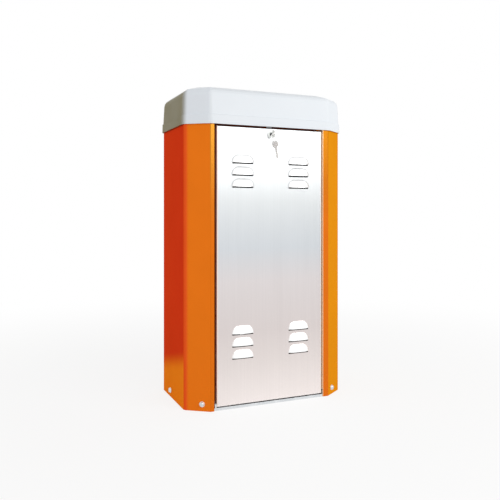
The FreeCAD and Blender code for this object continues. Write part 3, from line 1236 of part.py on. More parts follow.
# Gearbox and drive
add("gearbox_housing", gearbox_housing())
add("gearbox_cover", gearbox_cover())
cover_face = CHAMBER_FRONT - COVER_THICK
cover_screws = [placed(hex_bolt(COVER_SCREW_R, 8, 4, 20), (x, cover_face, z), (0, -1, 0))
                for x, z in cover_screw_places()]
foot_face = PLATE + FOOT_THICK
foot_bolts = [placed(hex_bolt(FOOT_BOLT_R, 17, 6.4, FOOT_THICK + PLATE - 1), (x, y, foot_face), (0, 0, 1))
              for x, y in foot_bolt_places()]
motor_bolts = [placed(hex_bolt(4.0, 13, 5.3, MOTOR_FLANGE + FLANGE_THICK),
                      (x, y, FLANGE_TOP + MOTOR_FLANGE), (0, 0, 1)) for x, y in motor_bolt_places()]
add("gearmotor_bolts", *cover_screws, *foot_bolts, *motor_bolts)
add("worm_wheel", worm_wheel())
add("worm_shaft", worm_shaft())
add("output_shaft", output_shaft())
add("pinion", pinion())
add("pinion_fastening", *pinion_fastening())
front_bearing = bearing(SHAFT_FRONT_R + SHAFT_PLAY, FRONT_BEARING_R, FRONT_BEARING)
rear_bearing = bearing(SHAFT_REAR_R + SHAFT_PLAY, REAR_BEARING_R, REAR_BEARING)
worm_bearing = bearing(WORM_JOURNAL_R + SHAFT_PLAY, WORM_BORE_R, 15)
rotor_bearing = bearing(ROTOR_JOURNAL_R + SHAFT_PLAY, ROTOR_BEARING_R, 10)
add("ball_bearings",
    placed(front_bearing, (0, CHAMBER_FRONT - FRONT_BEARING, OUTPUT_Z), (0, 1, 0)),
    placed(rear_bearing, (0, CHAMBER_REAR, OUTPUT_Z), (0, 1, 0)),
    placed(worm_bearing, (WORM_X, WHEEL_Y, WORM_FLOOR), (0, 0, 1)),
    placed(worm_bearing, (WORM_X, WHEEL_Y, 160), (0, 0, 1)),
    placed(rotor_bearing, (WORM_X, WHEEL_Y, MOTOR_TOP + 2), (0, 0, 1)))
add("shaft_seals",
    ring_y(REAR_BEARING_R, SHAFT_REAR_R + 0.1, 0, OUTPUT_Z, BOSS_REAR - SEAL_THICK, BOSS_REAR),
    ring_z(WORM_BORE_R, WORM_JOURNAL_R + 0.1, WORM_X, WHEEL_Y, FLANGE_TOP - FLANGE_THICK, FLANGE_TOP - 5))
add("motor_housing", motor_housing())
add("motor_end_shield", end_shield())
add("stator",
    ring_z(MOTOR_BORE_R - 0.1, ROTOR_R + AIR_GAP, WORM_X, WHEEL_Y, CORE_FOOT, CORE_TOP),
    ring_z(53, 42, WORM_X, WHEEL_Y, CORE_FOOT - 22, CORE_FOOT),
    ring_z(53, 42, WORM_X, WHEEL_Y, CORE_TOP, CORE_TOP + 22))
add("rotor_core", ring_z(ROTOR_R, 14, WORM_X, WHEEL_Y, CORE_FOOT, CORE_TOP))
add("cooling_fan", cooling_fan())
add("fan_cowl", fan_cowl())
tub, lid = terminal_box()
add("terminal_box", tub)
add("terminal_box_lid", lid)
lever, grip = release_parts()
add("release_lever", lever)
add("release_grip", grip)
plug_point, plug_way = oil_plug_place()
add("oil_plug", placed(hex_bolt(OIL_PLUG_R, 17, 6, 9), tuple(plug_point), tuple(plug_way)))
switch, switch_pin, feeler_hub, feeler_spring, feeler_tip = limit_switch()
add("limit_switch", switch, switch_pin)
add("limit_feeler", feeler_hub, feeler_spring, feeler_tip)

# Controls
add("control_plate", control_plate())
case, case_lid, case_screws = enclosure()
add("control_case", case)
add("control_lid", case_lid)
add("control_lid_screws", *case_screws)
board, posts, transformer, relays, blocks, caps = electronics()
add("circuit_board", board, *posts)
add("transformer", transformer)
add("relays", *relays)
add("terminal_blocks", *blocks)
add("board_capacitors", *caps)
isolator_body, isolator_knob = isolator()
add("isolator_body", isolator_body)
add("isolator_knob", isolator_knob)
can, clamp = capacitor()
add("motor_capacitor", can, clamp)
add("cable_glands", *cable_glands())

os.makedirs("parts", exist_ok=True)
for name, shape in nodes.items():
    shape.exportStep("parts/" + name + ".step")
print(len(nodes), "nodes,", sum(len(shape.Solids) for shape in nodes.values()), "solids")
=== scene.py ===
import math

import bpy
import numpy as np
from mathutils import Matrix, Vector


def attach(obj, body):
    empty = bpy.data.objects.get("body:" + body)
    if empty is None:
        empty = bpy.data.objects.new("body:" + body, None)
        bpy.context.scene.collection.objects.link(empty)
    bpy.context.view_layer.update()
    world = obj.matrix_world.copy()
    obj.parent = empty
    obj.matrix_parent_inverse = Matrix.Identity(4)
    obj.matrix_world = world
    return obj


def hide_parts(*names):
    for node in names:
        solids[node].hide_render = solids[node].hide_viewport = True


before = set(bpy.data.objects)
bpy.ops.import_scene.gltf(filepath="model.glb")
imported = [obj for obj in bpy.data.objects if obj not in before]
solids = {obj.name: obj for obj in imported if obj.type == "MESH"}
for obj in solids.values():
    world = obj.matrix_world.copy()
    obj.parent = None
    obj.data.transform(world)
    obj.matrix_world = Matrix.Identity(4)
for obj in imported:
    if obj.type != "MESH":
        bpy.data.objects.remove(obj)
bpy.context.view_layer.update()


# Base plate, its weld-on lugs and the pivot saddles: thick steel plate, flame cut and drilled, then
# zinc plated with a clear passivation. It gives a soft grey-blue shine with faint cloudy blotches.
def linear(code):
    """Linear colour of an sRGB hex value: c / 12.92 up to 0.04045, and above it
    ((c + 0.055) / 1.055) ** 2.4."""
    part = np.array([int(code[i:i + 2], 16) for i in (1, 3, 5)]) / 255
    level = np.where(part <= 0.04045, part / 12.92, ((part + 0.055) / 1.055) ** 2.4)
    return (*level.tolist(), 1.0)


def add(tree, kind, settings, sockets):
    """Adds a node with its settings, and its sockets by name or number: each takes a value or an output."""
    node = tree.nodes.new("ShaderNode" + kind)
    for name, value in settings.items():
        setattr(node, name, value)
    for name, value in sockets.items():
        if isinstance(value, bpy.types.NodeSocket):
            tree.links.new(value, node.inputs[name])
        else:
            node.inputs[name].default_value = value
    return node


def finish(name, **plain):
    """Starts a finish: its tree, its shader with the plain values set, and Object coordinates."""
    material = bpy.data.materials.new(name)
    material.use_nodes = True
    tree = material.node_tree
    shader = tree.nodes["Principled BSDF"]
    for socket, value in plain.items():
        shader.inputs[socket.replace("_", " ").title().replace("Ior", "IOR")].default_value = value
    return material, tree, shader, tree.nodes.new("ShaderNodeTexCoord").outputs["Object"]


# A Mix node of colours takes its share at socket 0 and its two colours at sockets 6 and 7.
colours = {"data_type": "RGBA"}


def mottle(tree, shader, where, dark, light, blotch, grain, depth, rough):
    """Colour from dark to light over blotches of that size, roughness from rough[0] to rough[1] with them,
    and a bump of that depth from grain, all sizes in metres: noise runs at 1 / size cycles per metre.
    Returns the colour and the bumped normal."""
    cloud = add(tree, "TexNoise", {},
                {"Vector": where, "Scale": 1 / blotch, "Detail": 4.0, "Roughness": 0.55})
    tint = add(tree, "Mix", colours, {0: cloud.outputs["Fac"], 6: linear(dark), 7: linear(light)})
    tree.links.new(tint.outputs[2], shader.inputs["Base Color"])
    worn = add(tree, "MapRange", {},
               {"Value": cloud.outputs["Fac"], "From Min": 0.3, "From Max": 0.7,
                "To Min": rough[0], "To Max": rough[1]})
    tree.links.new(worn.outputs["Result"], shader.inputs["Roughness"])
    grit = add(tree, "TexNoise", {}, {"Vector": where, "Scale": 1 / grain, "Detail": 3.0})
    bump = add(tree, "Bump", {}, {"Strength": 0.5, "Distance": depth, "Height": grit.outputs["Fac"]})
    tree.links.new(bump.outputs["Normal"], shader.inputs["Normal"])
    return tint.outputs[2], bump.outputs["Normal"]


def dress(material, *names):
    """Gives the finish to CAD nodes."""
    for name in names:
        solids[name].data.materials.clear()
        solids[name].data.materials.append(material)


zinc, tree, shader, where = finish("bright_zinc_plate", metallic=1.0)
mottle(tree, shader, where, dark="#CDD2D6", light="#EEF0F1",
       blotch=0.018, grain=0.0012, depth=0.00008, rough=(0.26, 0.4))
dress(zinc, "base_plate", "shell_lugs", "door_pivot_brackets", "lock_keeper", "control_plate",
      "gearmotor_bolts", "oil_plug", "pinion_fastening", "lock_cam")


# Cable grommet, door seal and shaft seals: moulded and extruded black rubber.
# Rubber is matt, a warm black, with a bloom that greys it a little in patches.
rubber, tree, shader, where = finish("black_rubber", ior=1.52)
mottle(tree, shader, where, dark="#151516", light="#252525",
       blotch=0.012, grain=0.0009, depth=0.00012, rough=(0.62, 0.78))
dress(rubber, "cable_grommet", "door_seal", "shaft_seals")


# Gearbox housing, cover and motor end shield: gravity-cast aluminium, shot blasted and left bare.
# Blasting leaves a dull, even silver with a grain of about a millimetre.
casting, tree, shader, where = finish("cast_aluminium", metallic=0.85)
mottle(tree, shader, where, dark="#8F9294", light="#B2B4B5",
       blotch=0.03, grain=0.0011, depth=0.00025, rough=(0.48, 0.6))
dress(casting, "gearbox_housing", "gearbox_cover", "motor_end_shield")


# Worm wheel: a rim of cast tin bronze with hobbed teeth.
# Machined bronze is a warm yellow-brown metal with a soft shine.
bronze, tree, shader, where = finish("tin_bronze", metallic=1.0)
mottle(tree, shader, where, dark="#9A6A35", light="#C08A4A",
       blotch=0.01, grain=0.0008, depth=0.00006, rough=(0.3, 0.42))
dress(bronze, "worm_wheel")


# Shafts, pinion, bearings, feeler and lever: turned, milled and ground steel, lightly oiled.
# Turning leaves fine rings; they are drawn at 0.9 mm pitch, because the real 0.1 mm is too fine to show.
ring_pitch = 0.0009
steel, tree, shader, where = finish("machined_steel", metallic=1.0)
_, grained = mottle(tree, shader, where, dark="#8E8B86", light="#B5B2AC",
                    blotch=0.02, grain=0.0007, depth=0.00004, rough=(0.22, 0.34))
# A wave texture turns through 20 x Scale radians per metre.
rings = add(tree, "TexWave", {"bands_direction": "Y"},
            {"Vector": where, "Scale": 2 * math.pi / (20 * ring_pitch)})
cut = add(tree, "Bump", {},
          {"Strength": 0.25, "Distance": 0.00005, "Height": rings.outputs["Fac"], "Normal": grained})
tree.links.new(cut.outputs["Normal"], shader.inputs["Normal"])
dress(steel, "worm_shaft", "output_shaft", "pinion", "ball_bearings", "rotor_core", "limit_feeler",
      "release_lever", "door_pivot_pins")


# Motor frame and fan cowl: aluminium frame and steel cowl under grey-blue hammered enamel.
# Hammered enamel dries into soft dimples of about 4 mm with a clear gloss.
enamel, tree, shader, where = finish("hammered_enamel", coat_weight=0.3, coat_roughness=0.15)
mottle(tree, shader, where, dark="#4D5A66", light="#66747F",
       blotch=0.006, grain=0.004, depth=0.0004, rough=(0.3, 0.42))
dress(enamel, "motor_housing", "fan_cowl")


# Stator: enamelled copper wire wound in coils and varnished.
# It is a deep red-brown metal, with a grain of 0.7 mm for the strands.
winding, tree, shader, where = finish("enamelled_copper", metallic=0.7)
mottle(tree, shader, where, dark="#7A3114", light="#A14B22",
       blotch=0.004, grain=0.0007, depth=0.0001, rough=(0.3, 0.4))
dress(winding, "stator")


# Black mouldings: fan, terminal box, limit switch, relays, lid screws and cable glands, in glass-filled
# polyamide with a spark-eroded texture of about half a millimetre.
polyamide, tree, shader, where = finish("black_polyamide", ior=1.53)
mottle(tree, shader, where, dark="#17181A", light="#232427",
       blotch=0.02, grain=0.0006, depth=0.00008, rough=(0.46, 0.58))
dress(polyamide, "cooling_fan", "terminal_box", "terminal_box_lid", "limit_switch", "relays",
      "control_lid_screws", "cable_glands")


# Control case, its lid, the isolator's body and the motor capacitor: light grey ABS mouldings.
# The moulds are lightly eroded, which leaves them satin and even.
abs_grey, tree, shader, where = finish("light_grey_abs", ior=1.54)
mottle(tree, shader, where, dark="#BFC2C0", light="#CDCFCD",
       blotch=0.04, grain=0.0007, depth=0.00006, rough=(0.4, 0.5))
dress(abs_grey, "control_case", "control_lid", "isolator_body", "motor_capacitor")


# Release grip and isolator knob: polyamide moulded in signal red, so that a hand finds them.
# They are satin from the mould.
red, tree, shader, where = finish("signal_red_polyamide", ior=1.53)
mottle(tree, shader, where, dark="#A3140F", light="#BC211A",
       blotch=0.015, grain=0.0006, depth=0.00006, rough=(0.34, 0.44))
dress(red, "release_grip", "isolator_knob")


# Circuit board: glass-epoxy laminate under green solder mask, with copper tracks that stand just proud.
# The mask is glossy; tracks 0.6 mm wide on a mesh of 12.7 by 6.35 mm show as lighter lines.
track_unit = 0.0254
mask, tree, shader, where = finish("green_solder_mask", coat_weight=0.4, coat_roughness=0.1, roughness=0.35)
lie = add(tree, "Mapping", {}, {"Vector": where, "Rotation": (math.pi / 2, 0, 0)})
# A brick is half a unit long and a quarter high, and its mortar takes 0.012 of a unit along each side.
tracks = add(tree, "TexBrick", {"offset": 0.5},
             {"Vector": lie.outputs["Vector"], "Scale": 1 / track_unit, "Mortar Size": 0.012,
              "Color1": linear("#1B5233"), "Color2": linear("#1F5C39"), "Mortar": linear("#3C8453")})
tree.links.new(tracks.outputs["Color"], shader.inputs["Base Color"])
proud = add(tree, "Bump", {"invert": True},
            {"Strength": 0.6, "Distance": 0.0001, "Height": tracks.outputs["Fac"]})
tree.links.new(proud.outputs["Normal"], shader.inputs["Normal"])
dress(mask, "circuit_board")


# Terminal blocks: green polyamide mouldings, set side by side on the board.
# Board capacitors and transformer: blue shrink sleeve, glossy and tight, over cans and coils.
green, tree, shader, where = finish("green_polyamide", ior=1.53)
mottle(tree, shader, where, dark="#237A43", light="#2E9152",
       blotch=0.01, grain=0.0005, depth=0.00005, rough=(0.38, 0.48))
dress(green, "terminal_blocks")
sleeve, tree, shader, where = finish("blue_shrink_sleeve", coat_weight=0.3, coat_roughness=0.2)
mottle(tree, shader, where, dark="#1C2F5E", light="#26407C",
       blotch=0.02, grain=0.002, depth=0.0001, rough=(0.3, 0.4))
dress(sleeve, "transformer", "board_capacitors")


# Cabinet sheets: 2 mm steel, folded on a press brake and powder coated in gloss orange, with an orange
# peel of about 3 mm. Its colour carries painted light: shaded red at the left to lit amber at the right, a
# painted floor reflection at the left foot, painted highlights on the top left flange and the right jamb's
# edge, and painted shade on the top of the right flange and in the door's rebate.
powder, tree, shader, where = finish("gloss_orange_powder_coat", metallic=0.4, specular_ior_level=0.0,
                                     specular_tint=(1.0, 0.35, 0.1, 1.0))
smooth = {"interpolation_type": "SMOOTHSTEP"}
foot_slope = (0, 0.24, 1)                                    # Z with some Y, so its edge falls to the rear
foot_edge = {"From Min": 0.095, "From Max": 0.157}           # on that slope
side_bend = {"From Min": -0.2679, "From Max": -0.2672}       # X, where the left side starts to bend
chamfer_edge = {"From Min": -0.2650, "From Max": -0.2540}    # X, from the bend into the left chamfer
front_width = {"From Min": -0.1, "From Max": 0.2}            # X, from left to right over the front
flange_face = {"From Min": -0.1375, "From Max": -0.1385}     # Y, the front flanges' outside
flange_top = {"From Min": 0.5, "From Max": 0.85}             # Z, the upper half of the flanges
rebate_wide = {1: -0.01, 2: 0.1795}                          # X, its middle and half its width
rebate_deep = {1: -0.115, 2: 0.0215}                         # Y, its middle and half its depth
jamb_bend = {1: 0.1810, 2: 0.0009}                           # X, the right jamb's bend and half its width
bright_front = -0.1                                          # Y, ahead of which the bend is bright
cloud_size, peel_size = 0.09, 0.003                          # the coat's soft clouds and its orange peel

across = add(tree, "SeparateXYZ", {}, {"Vector": where})
# Painted reflection: the left side's foot, under a sloped edge, is painted a paler orange for the light floor
# it reflects.
above = add(tree, "VectorMath", {"operation": "DOT_PRODUCT"}, {0: where, 1: foot_slope})
foot = add(tree, "MapRange", smooth, {"Value": above.outputs["Value"], **foot_edge})
left = add(tree, "Mix", colours, {0: foot.outputs["Result"], 6: linear("#FC9A2C"), 7: linear("#DE4A28")})
# Painted shade and light: over the left side, its bend, the left chamfer and the front, the colour runs from
# a shaded red to a lit amber at the right.
turn = add(tree, "MapRange", {}, {"Value": across.outputs["X"], **side_bend})
bend = add(tree, "Mix", colours, {0: turn.outputs["Result"], 6: left.outputs[2], 7: linear("#F25924")})
corner = add(tree, "MapRange", smooth, {"Value": across.outputs["X"], **chamfer_edge})
sides = add(tree, "Mix", colours, {0: corner.outputs["Result"], 6: bend.outputs[2], 7: linear("#F37C1C")})
reach = add(tree, "MapRange", {}, {"Value": across.outputs["X"], **front_width})
side_shading = add(tree, "Mix", colours, {0: reach.outputs["Result"], 6: sides.outputs[2], 7: linear("#E99B1E")})
# Painted highlight and shade on the front flanges: the top of the left one is painted paler, the top of the
# right one darker against the lamp's reflection.
flange = add(tree, "MapRange", {}, {"Value": across.outputs["Y"], **flange_face})
rise = add(tree, "MapRange", smooth, {"Value": across.outputs["Z"], **flange_top})
amber = add(tree, "Mix", colours, {0: rise.outputs["Result"], 6: linear("#E5741D"), 7: linear("#BE7519")})
pale = add(tree, "Mix", colours, {0: rise.outputs["Result"], 6: linear("#E37319"), 7: linear("#CC8A2E")})
front = add(tree, "Mix", colours, {0: reach.outputs["Result"], 6: pale.outputs[2], 7: amber.outputs[2]})
face = add(tree, "Mix", colours, {0: flange.outputs["Result"], 6: side_shading.outputs[2], 7: front.outputs[2]})
# Painted shade: the surfaces inside the door's rebate are painted dark red-brown.
within = add(tree, "Math", {"operation": "COMPARE"}, {0: across.outputs["X"], **rebate_wide})
ahead = add(tree, "Math", {"operation": "COMPARE"}, {0: across.outputs["Y"], **rebate_deep})
rebate = add(tree, "Math", {"operation": "MULTIPLY"}, {0: within.outputs[0], 1: ahead.outputs[0]})
rebate_shade = add(tree, "Mix", colours, {0: rebate.outputs[0], 6: face.outputs[2], 7: linear("#8A3A1C")})
# Painted highlight: the right jamb's bend at the front is painted pale.
jamb = add(tree, "Math", {"operation": "COMPARE"}, {0: across.outputs["X"], **jamb_bend})
fore = add(tree, "Math", {"operation": "LESS_THAN"}, {0: across.outputs["Y"], 1: bright_front})
lip = add(tree, "Math", {"operation": "MULTIPLY"}, {0: jamb.outputs[0], 1: fore.outputs[0]})
bright = add(tree, "Math", {"operation": "MULTIPLY"}, {0: lip.outputs[0], 1: 0.9})
edge = add(tree, "Mix", colours, {0: bright.outputs[0], 6: rebate_shade.outputs[2], 7: linear("#FFE2BE")})
flow = add(tree, "TexNoise", {}, {"Vector": where, "Scale": 1 / cloud_size, "Detail": 2.0})
shade = add(tree, "MapRange", {}, {"Value": flow.outputs["Fac"], "To Min": 0.94, "To Max": 1.04})
coat = add(tree, "Mix", {**colours, "blend_type": "MULTIPLY"},
           {0: 1.0, 6: edge.outputs[2], 7: shade.outputs["Result"]})
tree.links.new(coat.outputs[2], shader.inputs["Base Color"])
peel = add(tree, "TexNoise", {}, {"Vector": where, "Scale": 1 / peel_size, "Detail": 1.0})
skin = add(tree, "Bump", {}, {"Strength": 0.25, "Distance": 0.00006, "Height": peel.outputs["Fac"]})
tree.links.new(skin.outputs["Normal"], shader.inputs["Normal"])
gloss = add(tree, "MapRange", {}, {"Value": flow.outputs["Fac"], "To Min": 0.2, "To Max": 0.3})
tree.links.new(gloss.outputs["Result"], shader.inputs["Roughness"])
dress(powder, "left_panel", "right_panel", "back_panel", "top_frame")


# Foot screws and panel screws: button heads with a hexagon socket, on stamped washers, zinc plated.
# A head is turned and its socket is punched, so the rim is round and the inside is six-sided.
def grid(rows, columns):
    """Quads of a grid whose columns close on themselves: corner (i, j) is i * columns + j."""
    i, j = np.meshgrid(np.arange(rows - 1), np.arange(columns), indexing="ij")
    k = (j + 1) % columns
    corners = (i * columns + j, i * columns + k, (i + 1) * columns + k, (i + 1) * columns + j)
    return np.stack(corners, -1).reshape(-1, 4)


def make(name, points, quads, material, body):
    """A smooth-shaded piece from point and quad arrays, riding on a body."""
    mesh = bpy.data.meshes.new(name)
    mesh.from_pydata(points.tolist(), [], quads.tolist())
    mesh.materials.append(material)
    mesh.shade_smooth()
    piece = bpy.data.objects.new(name, mesh)
    bpy.context.scene.collection.objects.link(piece)
    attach(piece, body)
    return piece


def screw_heads(places, washer, head, rise, socket, thick):
    """Heads and washers about each place's outward way n: the point at profile step s and angle a is
    place + r(s, a) (u cos a + v sin a) + h(s) n, where r is the step's radius, and on the socket's
    six-sided steps radius / cos((a mod 60) - 30)."""
    profile = np.array([                             # radius, height, and 1 where the step is six-sided
        (washer, -0.0002, 0),                        # washer's rim, sunk 0.2 mm into the sheet
        (washer, thick * 0.7, 0),
        (washer * 0.96, thick, 0),
        (head * 1.02, thick, 0),                     # head on the washer
        (head, thick * 1.02, 0),
        (head, thick + rise * 0.25, 0),
        (head * 0.93, thick + rise * 0.68, 0),
        (head * 0.78, thick + rise * 0.93, 0),
        (socket * 1.3, thick + rise, 0),
        (socket, thick + rise * 0.99, 1),            # socket's mouth, wall and floor
        (socket, thick + rise * 0.9, 1),
        (socket, thick + rise * 0.7, 1),
        (socket, thick + rise * 0.35, 1),
        (0.0001, thick + rise * 0.3, 0)])
    radius, height, six = profile.T[:, :, None]
    angle = np.linspace(0, 2 * math.pi, 48, endpoint=False)
    r = radius / np.where(six > 0, np.cos(angle % (math.pi / 3) - math.pi / 6), 1)
    points, quads = [], []
    for at, way in places:
        n = np.array(way, float)
        u = np.array([0.0, 0.0, 1.0]) if abs(n[2]) < 0.9 else np.array([1.0, 0.0, 0.0])
        v = np.cross(n, u)
        ring = r[..., None] * (np.cos(angle)[None, :, None] * u + np.sin(angle)[None, :, None] * v)
        quads.append(grid(*r.shape) + sum(len(p) for p in points))
        points.append((np.array(at) + ring + height[:, None] * n).reshape(-1, 3))
    return np.concatenate(points), np.concatenate(quads)


# Cabinet's plan: half its width, its front and back, and the chamfer between the front and a side.
cabinet_half, cabinet_front, cabinet_back = 0.268, -0.139, 0.137
front_half = 0.200
chamfer_run = np.array([0.068, 0.048])
chamfer_way = np.array([chamfer_run[1], -chamfer_run[0]]) / np.hypot(*chamfer_run)

foot_screw_height = 0.021
chamfer_share = 0.32                 # of the chamfer's run, from the front
side_screw_y, back_screw_x = 0.053, 0.170
foot_places = []
for side in (-1, 1):
    x = side * (front_half + chamfer_share * chamfer_run[0])
    y = cabinet_front + chamfer_share * chamfer_run[1]
    foot_places.append(((x, y, foot_screw_height), (side * chamfer_way[0], chamfer_way[1], 0)))
    foot_places.append(((side * cabinet_half, side_screw_y, foot_screw_height), (side, 0, 0)))
    foot_places.append(((side * back_screw_x, cabinet_back, foot_screw_height), (0, 1, 0)))
points, quads = screw_heads(foot_places, washer=0.0085, head=0.0070, rise=0.0044,
                            socket=0.0024, thick=0.0016)
foot_heads = make("foot_screw_heads", points, quads, zinc, "cabinet")
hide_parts("shell_screws")

back_sheet, back_columns, back_rows = 0.139, 0.256, (0.06, 0.31, 0.56, 0.81)
frame_under, frame_columns, frame_rows = 0.863, 0.250, (-0.062, 0.104)
panel_places = [((side * back_columns, back_sheet, z), (0, 1, 0)) for z in back_rows for side in (-1, 1)]
panel_places += [((side * frame_columns, y, frame_under), (0, 0, -1)) for y in frame_rows for side in (-1, 1)]
points, quads = screw_heads(panel_places, washer=0.0046, head=0.0045, rise=0.0023,
                            socket=0.0014, thick=0.0003)
panel_heads = make("panel_screw_heads", points, quads, zinc, "cabinet")
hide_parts("panel_screws")


# Door: 1.5 mm stainless sheet, folded on four edges, louvres pressed from it, brushed lengthwise. Its colour
# carries painted light: a painted reflection in bands down the door, painted highlights on the louvres'
# crowns and the upright edges, painted shade on the faces under the louvre lips, and a back that is mill
# finish and painted darker as shade.
brushed, tree, shader, where = finish("brushed_stainless", metallic=1.0)
hairline = (0.0015, 0.0015, 0.3)                             # 1.5 mm wide, as the real 0.05 is too fine
door_height = {"From Min": 0.01, "From Max": 0.85}           # Z
louvre_crown = {"From Min": -0.1344, "From Max": -0.1368}    # Y, what the press pushed out
upright_fold = {"From Min": 0.1745, "From Max": 0.1762}      # X to either side, the upright edges
rearward = {"From Min": 0.05, "From Max": 0.3}               # how much a face looks back
door_face = -0.134                                           # Y
downward = -0.8                                              # Z of the way out from a sheared edge

lines = add(tree, "Mapping", {}, {"Vector": where, "Scale": [1 / size for size in hairline]})
hair = add(tree, "TexNoise", {}, {"Vector": lines.outputs["Vector"], "Scale": 1.0, "Detail": 5.0})
tone = add(tree, "Mix", colours, {0: hair.outputs["Fac"], 6: linear("#F2F2F2"), 7: linear("#FFFFFF")})
along = add(tree, "SeparateXYZ", {}, {"Vector": where})
# Painted reflection: the brushed tone is multiplied by bands over the door's height, near white at the foot
# and greyer above.
height = add(tree, "MapRange", {}, {"Value": along.outputs["Z"], **door_height})
bands = add(tree, "ValToRGB", {}, {"Fac": height.outputs["Result"]})
ramp = bands.color_ramp.elements
ramp[0].color = linear("#FDF4F1")
ramp[1].color = linear("#D9DADB")
for place, tint in ((0.15, "#EAE1DE"), (0.26, "#DED5D3"), (0.44, "#DAD4D4"), (0.56, "#CACED2"),
                    (0.73, "#C8CBCC")):
    ramp.new(place).color = linear(tint)
brush = add(tree, "Mix", {**colours, "blend_type": "MULTIPLY"},
            {0: 1.0, 6: tone.outputs[2], 7: bands.outputs["Color"]})
# Painted highlight: what the press pushed out, the louvres' crowns, is painted white.
pressed = add(tree, "MapRange", {}, {"Value": along.outputs["Y"], **louvre_crown})
louvre_highlight = add(tree, "Mix", colours, {0: pressed.outputs["Result"], 6: brush.outputs[2], 7: linear("#FFFFFF")})
# Painted highlight: the upright edges are painted a pale warm white and made less metallic, so that the pale
# shows.
away = add(tree, "Math", {"operation": "ABSOLUTE"}, {0: along.outputs["X"]})
folded = add(tree, "MapRange", {}, {"Value": away.outputs[0], **upright_fold})
edge_highlight = add(tree, "Mix", colours, {0: folded.outputs["Result"], 6: louvre_highlight.outputs[2], 7: linear("#FFEBDD")})
dull = add(tree, "MapRange", {}, {"Value": folded.outputs["Result"], "To Min": 1.0, "To Max": 0.2})
tree.links.new(dull.outputs["Result"], shader.inputs["Metallic"])
# Painted shade: faces ahead of the door's face that look down, under the louvre lips, are painted near black.
facing = add(tree, "SeparateXYZ", {}, {"Vector": where.node.outputs["Normal"]})
under = add(tree, "Math", {"operation": "LESS_THAN"}, {0: facing.outputs["Z"], 1: downward})
proud = add(tree, "Math", {"operation": "LESS_THAN"}, {0: along.outputs["Y"], 1: door_face})
lip_underside = add(tree, "Math", {"operation": "MULTIPLY"}, {0: under.outputs[0], 1: proud.outputs[0]})
lip_shade = add(tree, "Mix", colours, {0: lip_underside.outputs[0], 6: edge_highlight.outputs[2], 7: linear("#2E2F30")})
# Partly mill finish, partly painted shade: faces that look back are painted a dark grey.
rear = add(tree, "MapRange", {}, {"Value": facing.outputs["Y"], **rearward})
mill_and_shade = add(tree, "Mix", colours, {0: rear.outputs["Result"], 6: lip_shade.outputs[2], 7: linear("#6A6C6E")})
tree.links.new(mill_and_shade.outputs[2], shader.inputs["Base Color"])
polish = add(tree, "MapRange", {}, {"Value": hair.outputs["Fac"], "To Min": 0.26, "To Max": 0.4})
tree.links.new(polish.outputs["Result"], shader.inputs["Roughness"])
scratch = add(tree, "Bump", {}, {"Strength": 0.15, "Distance": 0.00003, "Height": hair.outputs["Fac"]})
tree.links.new(scratch.outputs["Normal"], shader.inputs["Normal"])
dress(brushed, "door", "door_stiffeners")


# Lock and keys: chrome-plated die-cast barrel and plug, and nickel-plated brass keys on a wire ring.
# Chrome is a cool mirror, the plug is painted dark as the shade in its keyway and under the key, and nickel
# is warmer and duller from handling.
chrome, tree, shader, where = finish("chrome_plate", metallic=0.75)
mottle(tree, shader, where, dark="#E4E9E6", light="#F3F6F4",
       blotch=0.006, grain=0.0006, depth=0.00001, rough=(0.24, 0.34))
dress(chrome, "lock_body")
# Painted shade: the plug's chrome is painted dark for the shade in its keyway and under the key.
plug_shade, tree, shader, where = finish("plug_chrome_painted_shade", metallic=1.0)
mottle(tree, shader, where, dark="#4E5154", light="#63666A",
       blotch=0.004, grain=0.0005, depth=0.00001, rough=(0.3, 0.4))
dress(plug_shade, "lock_plug")
nickel, tree, shader, where = finish("nickel_plate", metallic=0.7)
mottle(tree, shader, where, dark="#EFEDEA", light="#FAF9F7",
       blotch=0.004, grain=0.0006, depth=0.00003, rough=(0.2, 0.32))
dress(nickel, "lock_nut", "key", "key_ring", "spare_key")


# Hood: ASA moulding over the cabinet's top, light cool grey, with a fine eroded texture that softens its
# shine. The left wall carries painted shade, a warmer, darker grey, and the cut corner at the front left a
# paler painted highlight.
hood_grey, tree, shader, where = finish("light_grey_asa", specular_ior_level=0.15)
mottled_grey, _ = mottle(tree, shader, where, dark="#E6EBF0", light="#EDF1F5",
                       blotch=0.08, grain=0.0008, depth=0.00006, rough=(0.38, 0.46))
chamfer_line = (0.817, -0.577, 0)                            # along the cut corner, towards the front
wall_end = {"From Min": -0.182, "From Max": -0.153}          # on that line, where the painted shade ends
wall_depth = {"From Min": -0.2630, "From Max": -0.2570}      # X, so that it stays on the outside
corner_end = {"From Min": -0.083, "From Max": -0.087}        # on that line, where the painted highlight on the corner ends
corner_rear = {"From Min": -0.084, "From Max": -0.090}       # Y, so that it stays at the front

across = add(tree, "SeparateXYZ", {}, {"Vector": where})
# Painted shade: the left wall, up to the cut corner, is painted a dark olive grey.
past = add(tree, "VectorMath", {"operation": "DOT_PRODUCT"}, {0: where, 1: chamfer_line})
edge = add(tree, "MapRange", smooth, {"Value": past.outputs["Value"], **wall_end})
inward = add(tree, "MapRange", {}, {"Value": across.outputs["X"], **wall_depth})
unshaded = add(tree, "Math", {"operation": "MAXIMUM"},
            {0: edge.outputs["Result"], 1: inward.outputs["Result"]})
